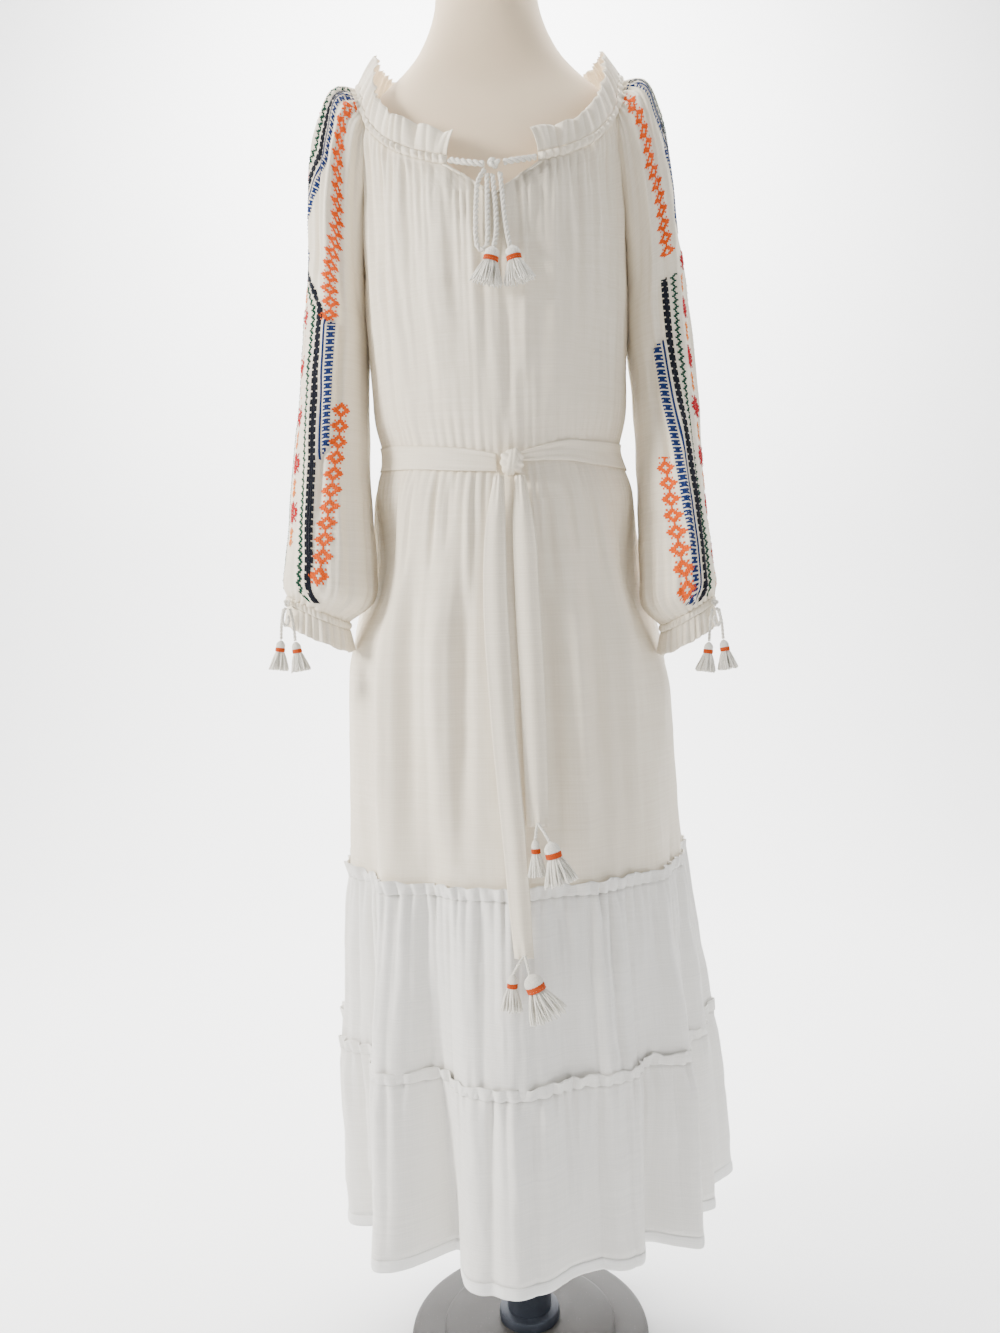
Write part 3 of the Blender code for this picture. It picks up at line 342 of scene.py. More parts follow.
# ---------------------------------------------------------------- settings
class ClothSettings(bpy.types.PropertyGroup):
    """Sizes and colours of the linen."""
    wall: bpy.props.FloatProperty(
        name="Cloth wall", description="Thickness of the linen", default=0.0008, unit="LENGTH")
    tint: bpy.props.FloatVectorProperty(
        name="Linen colour", description="Colour of the linen", subtype="COLOR", size=3,
        default=(0.86, 0.785, 0.655))
    tier_tint: bpy.props.FloatVectorProperty(
        name="Tier colour", description="Colour of the linen tiers, which look cooler",
        subtype="COLOR", size=3,
        default=(0.86, 0.840, 0.800))
    hem_tint: bpy.props.FloatVectorProperty(
        name="Hem colour", description="Colour of the doubled hem", subtype="COLOR", size=3,
        default=(0.90, 0.895, 0.875))
    gather_depth: bpy.props.FloatProperty(
        name="Gather depth", description="Depth of the gathers at a seam", default=0.0040,
        unit="LENGTH")
    gather_pitch: bpy.props.FloatProperty(
        name="Gather pitch", description="Distance between gathers at the neck", default=0.0105,
        unit="LENGTH")


class ThreadSettings(bpy.types.PropertyGroup):
    """Colours of the threads."""
    orange: bpy.props.FloatVectorProperty(
        name="Orange", description="Star chain", subtype="COLOR", size=3,
        default=(0.80, 0.105, 0.001))
    amber: bpy.props.FloatVectorProperty(
        name="Amber", description="Sprigs between the flowers", subtype="COLOR", size=3,
        default=(0.84, 0.21, 0.003))
    red: bpy.props.FloatVectorProperty(
        name="Red", description="Flowers", subtype="COLOR", size=3, default=(0.46, 0.002, 0.010))
    blue: bpy.props.FloatVectorProperty(
        name="Blue", description="Line and bobbins", subtype="COLOR", size=3,
        default=(0.004, 0.022, 0.120))
    black: bpy.props.FloatVectorProperty(
        name="Black", description="Chain", subtype="COLOR", size=3, default=(0.004, 0.006, 0.014))
    green: bpy.props.FloatVectorProperty(
        name="Green", description="Zigzag", subtype="COLOR", size=3, default=(0.002, 0.050, 0.026))
    tie: bpy.props.FloatVectorProperty(
        name="Tassel tie", description="Thread wound round a tassel", subtype="COLOR", size=3,
        default=(0.50, 0.062, 0.004))


# ---------------------------------------------------------------- numbers
def cubic(keys, values, at):
    """Cubic curve through values at their keys, in every column; slopes come from both sides."""
    slopes = np.gradient(values, keys, axis=0)
    place = np.clip(np.searchsorted(keys, at, side="right") - 1, 0, len(keys) - 2)
    spread = np.shape(at) + (1,) * (values.ndim - 1)
    span = np.reshape(keys[place + 1] - keys[place], spread)
    part = np.reshape(at - keys[place], spread) / span
    start = ((1 + 2 * part) * (1 - part) ** 2 * values[place]
             + part * (1 - part) ** 2 * span * slopes[place])
    end = (part ** 2 * (3 - 2 * part) * values[place + 1]
           + part ** 2 * (part - 1) * span * slopes[place + 1])
    return start + end


def read_table(rows, at, column):
    """Read one column of a table smoothly, with a cubic between its rows."""
    ordered = sorted(rows, key=lambda row: row[0])
    keys = np.array([row[0] for row in ordered], dtype=float)
    values = np.array([row[column] for row in ordered], dtype=float)
    return cubic(keys, values, np.clip(np.asarray(at, dtype=float), keys[0], keys[-1]))


def read_straight(rows, at, column):
    """Read one column of a table with straight lines between its rows."""
    return np.interp(at, [row[0] for row in rows], [row[column] for row in rows])


def round_turn(columns):
    """Evenly spaced turns in radians, once round without the last."""
    return np.linspace(0, 2 * math.pi, columns + 1)[:-1]


def ring_angles(columns):
    """Evenly spaced angles in degrees, once round from the back middle without the last."""
    return np.linspace(-180.0, 180.0, columns + 1)[:-1]


def run_length(path):
    """Length in metres along a path's points."""
    return float(np.linalg.norm(np.diff(path, axis=0), axis=1).sum())


def wrap(angle):
    """Bring an angle in degrees between -180 and 180."""
    return (np.asarray(angle, dtype=float) + 180.0) % 360.0 - 180.0


def ease(part):
    """A soft step from 0 to 1."""
    part = np.clip(part, 0, 1)
    return part * part * (3 - 2 * part)


def drift(across, along, around, seed):
    """Smooth noise from -1 to 1 on a lattice that repeats every `around` cells across."""
    lattice = np.random.default_rng(seed).uniform(-1, 1, (around, LATTICE_ROWS))
    across, along = np.broadcast_arrays(np.asarray(across, dtype=float),
                                        np.asarray(along, dtype=float))
    low_u = np.floor(across).astype(int)
    low_v = np.floor(along).astype(int)
    part_u = ease(across - low_u)
    part_v = ease(along - low_v)
    left, right = low_u % around, (low_u + 1) % around
    first, second = (lattice[left, row] * (1 - part_u) + lattice[right, row] * part_u
                     for row in (low_v % LATTICE_ROWS, (low_v + 1) % LATTICE_ROWS))
    return first * (1 - part_v) + second * part_v


def neckline_height(angle):
    """Height of the neckline seam at an angle from the front middle."""
    return read_table(NECKLINE, np.abs(wrap(angle)), 1)


def belt_height(angle):
    """The belt sags at the front knot and rises to the sides and back."""
    return BELT_FRONT_Z + BELT_SIDE_RISE * np.sin(np.radians(np.abs(wrap(angle))) / 2) ** 0.9


def body_fold(angle, height):
    """Soft folds, the belt's cinch and the hollows under the sleeves, outwards."""
    above_belt = (np.clip((height - 1.08) / 0.12, 0, 1)
                  * np.clip((1.36 - height) / 0.08 + 0.5, 0.5, 1))
    below_belt = np.clip((1.02 - height) / 0.14, 0, 1)
    out = np.zeros(np.broadcast(angle, height).shape)
    for middle, half_width, chest, hip in BODY_FOLDS:
        away = np.clip(np.abs(wrap(angle - middle)) / half_width, 0, 1)
        out += 0.5 * (1 + np.cos(math.pi * away)) * (chest * above_belt + hip * below_belt)
    out -= BELT_CINCH * np.exp(-(((height - belt_height(angle)) / BELT_CINCH_REACH) ** 2))
    for middle, half_width, depth, centre, reach in SLEEVE_HOLLOWS:
        across = np.clip(np.abs(wrap(angle - middle)) / half_width, 0, 1)
        along = np.clip(np.abs(height - centre) / reach, 0, 1)
        out -= depth * np.cos(math.pi / 2 * across) ** 2 * np.cos(math.pi / 2 * along) ** 2
    return out


def flute(angle, height):
    """Outward and sideways shift of the tiers' flutes."""
    rows = []
    for turn in (-360, 0, 360):
        rows += [(row[0] + turn, row[1], row[2]) for row in HEM_FLUTES]
    share = read_table(FLUTE_SHARES, height, 1)
    return read_table(rows, wrap(angle), 1) * share, read_table(rows, wrap(angle), 2) * share


def body_point(angle, height, stand_off=0.0):
    """A point of the dress: an ellipse at its height, plus folds and flutes, pushed out by
    stand_off."""
    angle, height, stand_off = np.broadcast_arrays(
        np.asarray(angle, dtype=float), np.asarray(height, dtype=float),
        np.asarray(stand_off, dtype=float))
    turn = np.radians(angle)
    width = read_table(BODY_RINGS, height, 1)
    depth = np.where(np.cos(turn) > 0, read_table(BODY_RINGS, height, 2),
                     read_table(BODY_RINGS, height, 3))
    out, side = flute(angle, height)
    out = out + body_fold(angle, height) + stand_off
    x = width * np.sin(turn) + out * np.sin(turn) + side * np.cos(turn)
    y = -depth * np.cos(turn) - out * np.cos(turn) + side * np.sin(turn)
    return np.stack([x, y + GARMENT_Y, height], axis=-1)


def front_y(x, height):
    """How far forward the body's cloth stands at an x and a height."""
    angle = np.degrees(np.arcsin(np.clip(x / read_table(BODY_RINGS, height, 1), -1, 1)))
    return body_point(angle, height)[..., 1]


# ---------------------------------------------------------------- mesh making
def new_object(name, mesh, finish):
    made = bpy.data.objects.new(name, mesh)
    mesh.materials.append(finish)
    bpy.context.scene.collection.objects.link(made)
    return made


def mesh_from(name, points, quads, uv=None, smooth=True):
    """A mesh from an array of points and an array of four-cornered faces."""
    mesh = bpy.data.meshes.new(name)
    mesh.vertices.add(len(points))
    mesh.vertices.foreach_set("co", np.ascontiguousarray(points, dtype=np.float32).ravel())
    mesh.loops.add(quads.size)
    mesh.loops.foreach_set("vertex_index", quads.astype(np.int32).ravel())
    mesh.polygons.add(len(quads))
    mesh.polygons.foreach_set("loop_start",
                              np.arange(0, quads.size, quads.shape[1], dtype=np.int32))
    mesh.update(calc_edges=True)
    mesh.validate()
    mesh.polygons.foreach_set("use_smooth", np.full(len(mesh.polygons), smooth))
    if uv is not None:
        layer = mesh.uv_layers.new(name="cloth")
        layer.data.foreach_set("uv", np.ascontiguousarray(uv, dtype=np.float32).ravel())
    return mesh


def grid_quads(rows, columns, closed=False, flip=False):
    """Corner numbers of a grid's faces, and the row and column of each corner for the cloth's UV
    map."""
    across = columns if closed else columns - 1
    row, column = np.meshgrid(np.arange(rows - 1), np.arange(across), indexing="ij")
    corner_rows = np.stack([row, row + 1, row + 1, row], axis=-1).reshape(-1, 4)
    corner_columns = np.stack([column, column, column + 1, column + 1], axis=-1).reshape(-1, 4)
    if flip:
        corner_rows, corner_columns = corner_rows[:, ::-1], corner_columns[:, ::-1]
    return corner_rows * columns + corner_columns % columns, corner_rows, corner_columns


def cloth_lengths(points, closed=False):
    """Metres of cloth across and down a grid, from its mean steps."""
    ring = np.concatenate([points, points[:, :1]], axis=1) if closed else points
    across = np.linalg.norm(np.diff(ring, axis=1), axis=2).mean(axis=0)
    down = np.linalg.norm(np.diff(points, axis=0), axis=2).mean(axis=1)
    return np.concatenate([[0], np.cumsum(across)]), np.concatenate([[0], np.cumsum(down)])


def cloth(name, points, finish, closed=False, flip=False, wall=None, drop_column=None, weld=False):
    """A sheet of cloth: the grid is its outer side, and its wall grows inwards."""
    rows, columns = points.shape[:2]
    quads, corner_rows, corner_columns = grid_quads(rows, columns, closed, flip)
    if drop_column is not None:
        kept = corner_columns.min(axis=1) != drop_column
        quads, corner_rows, corner_columns = quads[kept], corner_rows[kept], corner_columns[kept]
    across, down = cloth_lengths(points, closed)
    uv = np.stack([across[corner_columns], down[corner_rows]], axis=-1)
    mesh = mesh_from(name, points.reshape(-1, 3), quads, uv)
    if weld:
        work = bmesh.new()
        work.from_mesh(mesh)
        bmesh.ops.remove_doubles(work, verts=work.verts, dist=0.00002)
        work.to_mesh(mesh)
        work.free()
    made = new_object(name, mesh, finish)
    solid = made.modifiers.new("wall", "SOLIDIFY")
    solid.thickness = wall or bpy.context.scene.dress_cloth.wall
    solid.offset = -1.0
    solid.use_rim = True
    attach(made, "root")
    return made


def stands_for(made, node):
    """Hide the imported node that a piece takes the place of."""
    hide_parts(node)
    return made


def normals_of(points):
    """Unit normals of a grid, outwards for a grid that runs down and then round to the right."""
    across = np.gradient(points, axis=1)
    down = np.gradient(points, axis=0)
    normal = np.cross(down, across)
    return normal / np.maximum(np.linalg.norm(normal, axis=2, keepdims=True), 1e-12)


def smooth_rows(coarse, count):
    """Fine rows through coarse ones: a cubic in every column, by the mean distance along."""
    steps = np.linalg.norm(np.diff(coarse, axis=0), axis=-1).mean(axis=-1)
    keys = np.concatenate([[0], np.cumsum(steps)])
    return cubic(keys, coarse, np.linspace(0, keys[-1], count))


# ---------------------------------------------------------------- materials
class Nodes:
    """Short hand for building a material's node tree."""

    def __init__(self, name):
        self.material = bpy.data.materials.new(name)
        self.material.use_nodes = True
        self.tree = self.material.node_tree
        self.shader = self.tree.nodes["Principled BSDF"]

    def add(self, kind, **settings):
        node = self.tree.nodes.new(kind)
        for key, value in settings.items():
            setattr(node, key, value)
        return node

    def link(self, source, target):
        self.tree.links.new(source, target)

    def value(self, source, target):
        """Put a number, colour or socket into a socket."""
        if isinstance(source, bpy.types.NodeSocket):
            self.link(source, target)
        else:
            target.default_value = source

    def place(self, scale, uv=True):
        """Cloth metres, or object metres, scaled."""
        texture = self.add("ShaderNodeTexCoord")
        mapping = self.add("ShaderNodeMapping")
        mapping.inputs["Scale"].default_value = scale
        self.link(texture.outputs["UV" if uv else "Object"], mapping.inputs["Vector"])
        return mapping.outputs["Vector"]

    def noise(self, scale, detail, roughness, uv=True):
        """Smooth noise on cloth metres, or object metres, scaled."""
        vector = self.place(scale, uv)
        node = self.add("ShaderNodeTexNoise")
        node.inputs["Scale"].default_value = 1.0
        node.inputs["Detail"].default_value = detail
        node.inputs["Roughness"].default_value = roughness
        self.link(vector, node.inputs["Vector"])
        return node.outputs["Fac"]

    def maths(self, operation, first, second=0.0):
        node = self.add("ShaderNodeMath", operation=operation)
        self.value(first, node.inputs[0])
        self.value(second, node.inputs[1])
        return node.outputs[0]

    def between(self, source, low, high, to_low=0.0, to_high=1.0):
        node = self.add("ShaderNodeMapRange")
        self.link(source, node.inputs["Value"])
        node.inputs["From Min"].default_value = low
        node.inputs["From Max"].default_value = high
        node.inputs["To Min"].default_value = to_low
        node.inputs["To Max"].default_value = to_high
        return node.outputs["Result"]

    def mix(self, share, first, second):
        node = self.add("ShaderNodeMix", data_type="RGBA")
        self.value(share, node.inputs["Factor"])
        self.value(first, node.inputs["A"])
        self.value(second, node.inputs["B"])
        return node.outputs["Result"]

    def bump(self, height, distance, strength=1.0):
        node = self.add("ShaderNodeBump")
        node.inputs["Distance"].default_value = distance
        node.inputs["Strength"].default_value = strength
        self.link(height, node.inputs["Height"])
        self.link(node.outputs["Normal"], self.shader.inputs["Normal"])

    def colour(self, source):
        self.value(source, self.shader.inputs["Base Color"])

    def finish(self, roughness, sheen=0.0, metallic=0.0, specular=0.35):
        self.shader.inputs["Roughness"].default_value = roughness
        self.shader.inputs["Sheen Weight"].default_value = sheen
        self.shader.inputs["Metallic"].default_value = metallic
        self.shader.inputs["Specular IOR Level"].default_value = specular
        return self.material


def once(build):
    """Build a material the first time its name is asked for, and find it after that."""
    def find_or_build(name, *looks, **more):
        return bpy.data.materials.get(name) or build(Nodes(name), *looks, **more)
    return find_or_build


def shade(colour, factor):
    """A colour made lighter or darker, with its alpha."""
    return tuple(min(1.0, part * factor) for part in colour) + (1.0,)


@once
def linen_material(nodes, colour, shadow, slub=1.0):
    """Slubby linen: long uneven threads across and down, fine grain, and a soft nap."""
    weft = nodes.noise((9.0, 620.0, 1.0), 3.0, 0.62)
    warp = nodes.noise((680.0, 11.0, 1.0), 3.0, 0.60)
    thick = nodes.between(nodes.noise((22.0, 260.0, 1.0), 2.0, 0.5), 0.60, 0.74)
    grain = nodes.noise((1500.0, 1500.0, 1.0), 1.0, 0.5)
    threads = nodes.maths("ADD", nodes.maths("MULTIPLY", weft, 0.62),
                          nodes.maths("MULTIPLY", warp, 0.38))
    tone = nodes.between(threads, 0.36, 0.64)
    base = nodes.mix(tone, shadow + (1.0,), shade(colour, 1.03))
    base = nodes.mix(nodes.maths("MULTIPLY", thick, 0.30 * slub), base, shade(colour, 1.12))
    broad = nodes.between(nodes.noise((6.0, 6.0, 6.0), 2.0, 0.5, uv=False), 0.35, 0.65)
    base = nodes.mix(nodes.maths("MULTIPLY", broad, 0.10), base, shadow + (1.0,))
    nodes.colour(base)
    height = nodes.maths("ADD", threads, nodes.maths("MULTIPLY", thick, 0.5 * slub))
    height = nodes.maths("ADD", height, nodes.maths("MULTIPLY", grain, 0.25))
    nodes.bump(height, 0.0006, 0.55)
    return nodes.finish(0.93, sheen=0.12, specular=0.18)


def body_linen():
    tint = tuple(bpy.context.scene.dress_cloth.tint)
    return linen_material("body linen", tint, (tint[0] * 0.93, tint[1] * 0.915, tint[2] * 0.88))


def tier_linen():
    tint = tuple(bpy.context.scene.dress_cloth.tier_tint)
    return linen_material("tier linen", tint, (tint[0] * 0.92, tint[1] * 0.925, tint[2] * 0.92))


def trim_linen():
    tint = tuple(bpy.context.scene.dress_cloth.tint)
    return linen_material("trim linen", shade(tint, 1.03)[:3],
                          (tint[0] * 0.95, tint[1] * 0.94, tint[2] * 0.91), 0.5)


def hem_linen():
    tint = tuple(bpy.context.scene.dress_cloth.hem_tint)
    return linen_material("hem linen", tint, (tint[0] * 0.94, tint[1] * 0.94, tint[2] * 0.93), 0.5)


@once
def thread_material(nodes, colour, roughness=0.6):
    """Stranded cotton: a fine twisted grain and a slight gloss."""
    grain = nodes.noise((1400.0, 1400.0, 700.0), 2.0, 0.6, uv=False)
    tone = nodes.between(grain, 0.35, 0.65)
    nodes.colour(nodes.mix(tone, shade(colour, 0.80), shade(colour, 1.08)))
    nodes.bump(grain, 0.0003, 0.4)
    return nodes.finish(roughness, specular=0.2)


def cotton():
    return thread_material("white cotton", (0.82, 0.79, 0.71), 0.75)


@once
def form_cloth(nodes):
    """Cream cover of the dress form: fine even jersey-like weave with faint mottling."""
    colour = (0.82, 0.655, 0.46)
    weave = nodes.noise((900.0, 900.0, 900.0), 2.0, 0.5, uv=False)
    cloud = nodes.between(nodes.noise((14.0, 14.0, 14.0), 3.0, 0.5, uv=False), 0.3, 0.7)
    base = nodes.mix(cloud, shade(colour, 0.97), shade(colour, 1.03))
    nodes.colour(nodes.mix(nodes.maths("MULTIPLY", weave, 0.12), base, shade(colour, 0.86)))
    nodes.bump(weave, 0.0004, 0.35)
    return nodes.finish(0.88, sheen=0.2, specular=0.2)


@once
def painted_steel(nodes, colour, roughness, metallic):
    """Painted metal with faint clouding, fine scratches in its gloss and worn specks."""
    cloud = nodes.noise((16.0, 16.0, 9.0), 4.0, 0.6, uv=False)
    speck = nodes.between(nodes.noise((420.0, 420.0, 420.0), 2.0, 0.5, uv=False), 0.66, 0.74)
    base = nodes.mix(nodes.between(cloud, 0.3, 0.7), shade(colour, 0.8), shade(colour, 1.3))
    nodes.colour(nodes.mix(nodes.maths("MULTIPLY", speck, 0.4), base, shade(colour, 2.4)))
    nodes.value(nodes.between(cloud, 0.3, 0.7, roughness - 0.08, roughness + 0.1),
                nodes.shader.inputs["Roughness"])
    nodes.bump(nodes.maths("ADD", cloud, nodes.maths("MULTIPLY", speck, 0.3)), 0.0004, 0.3)
    nodes.shader.inputs["Metallic"].default_value = metallic
    nodes.shader.inputs["Specular IOR Level"].default_value = 0.5
    return nodes.material


# ---------------------------------------------------------------- fine sizes
PANEL_HALF = 106             # columns in half a front panel
YOKE_ROWS = 50
SKIRT_ROWS = 92
BACK_COLUMNS = 150
SLEEVE_ROWS = 120
SLEEVE_COLUMNS = 150
TIER_COLUMNS = 768
SEAM_EASE = 0.0002
TUCK_UNDER = 0.0006          # the panel's top edge goes this far under the casing
BELT_MIDDLE_Z = 1.060
GATHER_RUN = 0.0031          # metres of gathered edge to a degree
CREASE_GAIN = 1.5            # depth of all the body's creases together
FORM_COLUMNS = 96
FORM_ROWS = 112
SIDE_SEAM_ANGLE = 89.9       # just short of the side seam
CASING_GRID = (7, 1100)      # rows, columns
CASING_RIBS = 116
RUFFLE_GRID = (10, 900)
RUFFLE_PLEATS = 76
CUFF_COLUMNS = 320
CUFF_RIBS = 44
CUFF_PLEATS = 26
TIER_ROWS = 30
TIER_GATHERS = 101
TIER_FOLDS = 37
TIER_GATHER_DEPTH = 0.0044
HEADING_ROWS = 7
HEADING_WAVES = 47
TASSEL_THREADS = 130
KNOT_SIDES = 10
CORE_COLUMNS = 24
CORE_ROWS = 13

# Walls and gaps
TRIM_WALL = 0.0006
BINDING_WALL = 0.0004
BELT_WALL = 0.0012
TAIL_WALL = 0.0010
HEM_WALL = 0.0016
PIECE_GAP = 0.0003

# Camera: tip and roll in degrees, focal length in millimetres for a 36 mm high sensor, place
CAMERA_TIP = -2.9
CAMERA_ROLL = 1.93
CAMERA_LENS = 27.195
CAMERA_PLACE = (-0.0099, -1.200, 0.886)

BASE_RADIUS = 0.145
DISH_RADIUS = 0.104
POLE_RADIUS = 0.027
COLLAR_RADIUS = 0.037
NECK_CAP_RADIUS = 0.048

# Creases of the body: angle, slant in degrees to a metre, top, bottom, half width in degrees,
# outwards
CREASES = (
    (4, -6, 1.235, 1.075, 3.0, -0.0020), (-9, 8, 1.290, 1.130, 3.4, 0.0018),
    (11, -8, 1.285, 1.120, 3.2, 0.0020),
    (-19, 14, 1.330, 1.180, 3.6, -0.0024), (21, -12, 1.335, 1.170, 3.8, -0.0022),
    (-31, 22, 1.330, 1.120, 4.0, 0.0022),
    (33, -20, 1.320, 1.100, 4.2, 0.0024), (-43, 16, 1.290, 1.110, 3.6, -0.0020),
    (45, -18, 1.300, 1.090, 3.8, -0.0022),
    (-56, 10, 1.300, 1.100, 4.0, 0.0022), (58, -8, 1.270, 1.100, 4.0, 0.0020),
    (-41, 0, 1.050, 0.925, 2.4, -0.0030), (-29, 3, 1.045, 0.930, 2.2, -0.0028),
    (-22.5, 2, 1.042, 0.945, 2.0, -0.0026),
    (-14, 0, 1.035, 0.890, 2.6, 0.0026), (17, 2, 1.040, 0.900, 2.6, -0.0024),
    (27, -3, 1.045, 0.935, 2.2, -0.0026),
    (38, 2, 1.050, 0.905, 2.6, -0.0030), (52, 0, 1.055, 0.880, 3.0, -0.0028),
    (-52, 2, 1.055, 0.890, 3.0, -0.0024),
    (-36, 2, 0.960, 0.615, 6.0, -0.0055), (-15, -4, 0.940, 0.620, 5.0, -0.0050),
    (-25, 0, 0.930, 0.640, 4.5, 0.0030),
    (13, 3, 0.930, 0.640, 5.0, -0.0040), (30, -2, 0.950, 0.620, 5.5, -0.0050),
    (22, 0, 0.900, 0.640, 4.0, 0.0028),
    (41, 2, 0.880, 0.615, 4.5, 0.0034), (-47, 0, 0.880, 0.620, 5.0, 0.0032),
    (112, 0, 0.950, 0.620, 6.0, -0.0050), (140, 4, 0.960, 0.640, 5.5, -0.0054),
    (166, -3, 0.940, 0.620, 5.5, -0.0048),
    (193, 3, 0.950, 0.630, 6.0, -0.0052), (219, -4, 0.960, 0.650, 5.0, -0.0050),
    (246, 2, 0.940, 0.620, 6.0, -0.0050),
    (150, 10, 1.380, 1.120, 4.2, 0.0026), (172, -6, 1.360, 1.130, 3.8, -0.0024),
    (188, 8, 1.400, 1.150, 3.8, 0.0022),
    (205, -10, 1.370, 1.110, 4.4, -0.0026), (223, -12, 1.340, 1.120, 4.0, 0.0024),
    (134, 12, 1.340, 1.110, 4.2, -0.0024),
)

# Folds of each sleeve: turn from the crown to the front seam (-1) or back seam (1), where it goes
# by the
# bottom, start and end as shares of the length, half width in turns, outwards
SLEEVE_FOLDS = {
    "left": (
        (-0.30, -0.22, 0.02, 0.46, 0.050, 0.0030), (-0.44, -0.34, 0.04, 0.52, 0.055, -0.0042),
        (-0.58, -0.46, 0.06, 0.60, 0.050, 0.0034), (-0.72, -0.60, 0.10, 0.70, 0.055, -0.0036),
        (-0.16, -0.20, 0.30, 0.72, 0.045, -0.0030), (-0.34, -0.40, 0.56, 0.97, 0.050, 0.0036),
        (-0.46, -0.52, 0.60, 0.98, 0.045, -0.0040), (-0.60, -0.64, 0.62, 0.97, 0.045, 0.0030),
        (0.14, 0.20, 0.05, 0.60, 0.060, 0.0030), (0.30, 0.36, 0.05, 0.70, 0.060, -0.0038),
        (0.48, 0.50, 0.08, 0.80, 0.060, 0.0034), (0.66, 0.62, 0.10, 0.80, 0.055, -0.0034),
        (0.24, 0.22, 0.64, 0.98, 0.050, 0.0030), (0.40, 0.44, 0.66, 0.98, 0.050, -0.0034),
    ),
    "right": (
        (-0.28, -0.30, 0.03, 0.40, 0.050, -0.0032), (-0.40, -0.30, 0.10, 0.62, 0.050, 0.0034),
        (-0.54, -0.42, 0.06, 0.66, 0.055, -0.0040), (-0.68, -0.58, 0.08, 0.72, 0.050, 0.0032),
        (-0.14, -0.12, 0.34, 0.80, 0.045, 0.0026), (-0.30, -0.28, 0.58, 0.97, 0.050, -0.0034),
        (-0.44, -0.48, 0.62, 0.98, 0.045, 0.0036), (-0.60, -0.62, 0.66, 0.98, 0.050, -0.0034),
        (0.16, 0.20, 0.05, 0.60, 0.060, -0.0032), (0.32, 0.34, 0.06, 0.72, 0.060, 0.0036),
        (0.50, 0.50, 0.10, 0.84, 0.060, -0.0036), (0.68, 0.64, 0.10, 0.80, 0.055, 0.0032),
        (0.26, 0.24, 0.68, 0.98, 0.050, -0.0030), (0.42, 0.44, 0.70, 0.98, 0.050, 0.0032),
    ),
}


def ridges(phase, seed, around=512):
    """Rounded ridges one unit apart that wander and vary in strength, from about -1 to 1."""
    half = around // 2
    wander = phase + 0.35 * drift(phase * 0.5, 0.0, half, seed)
    wave = 2 * np.abs(np.sin(math.pi * wander)) ** 0.85 - 1
    return wave * (0.66 + 0.34 * drift(phase, 3.0, around, seed + 1))


# ---------------------------------------------------------------- front and back
def slit_angle(height):
    """Half angle of the front slit at a height: nothing below its bottom."""
    top = float(neckline_height(SLIT_TOP_ANGLE)) - CASING_HEIGHT
    height = np.asarray(height, dtype=float)
    opened = np.clip((height - SLIT_BOTTOM_Z) / (top - SLIT_BOTTOM_Z), 0, 1)
    return SLIT_TOP_ANGLE * opened


def ease_in_degrees(height, ease):
    """The angle that a short length along a body ring takes."""
    return np.degrees(ease / read_table(BODY_RINGS, height, 1))


def skirt_heights(angles):
    """Rows from the underarm to the first tier; near the waist they follow the belt."""
    level = np.linspace(UNDERARM_Z, TIER_1_TOP_Z, SKIRT_ROWS + 1)[1:, None]
    near = np.exp(-(((level - BELT_MIDDLE_Z) / 0.055) ** 2))
    return level + (belt_height(angles) - BELT_MIDDLE_Z) * near


def body_relief(angle, height, along_top, below, seed):
    """Gathers under the neck and round the belt, placed creases, and a slight crumple,
    outwards."""
    cloth_set = bpy.context.scene.dress_cloth
    depth = cloth_set.gather_depth
    pitch = cloth_set.gather_pitch
    fade = 0.058 + 0.030 * drift(along_top / 0.021, 1.0, 64, seed + 11)
    start = 0.30 + 0.70 * ease(below / 0.014)
    out = depth * (0.35 + ridges(along_top / pitch, seed)) * np.exp(-below / fade) * start
    out += 0.9 * depth * ridges(along_top / (2.3 * pitch),
                                seed + 3) * np.exp(-below / 0.13) * ease(below / 0.03)
    out += 0.6 * depth * drift(along_top / 0.017, below / 0.05, 64,
                               seed + 4) * np.exp(-below / 0.20)
    away = height - belt_height(angle)
    reach = np.where(away > 0, 0.028, 0.050)
    under_belt = 1 - 0.75 * np.exp(-((away / 0.014) ** 2))
    out += 0.0030 * ridges(wrap(angle) / 360.0 * 84, seed + 5, 84) * np.exp(-np.abs(away) / reach)
    for middle, slant, high, low, half_width, depth_out in CREASES:
        line = middle + slant * (high - height)
        across = np.clip(np.abs(wrap(angle - line)) / half_width, 0, 1)
        end_share = np.clip((height - low) / (high - low), 0, 1)
        out += (CREASE_GAIN * depth_out * np.cos(math.pi / 2 * across) ** 2
                * np.sin(math.pi * end_share) ** 0.8)
    out += 0.00050 * drift(wrap(angle) / 3.6, height / 0.040, 100, seed + 7)
    out += 0.00028 * drift(wrap(angle) / 1.5, height / 0.016, 240, seed + 8)
    return out * under_belt


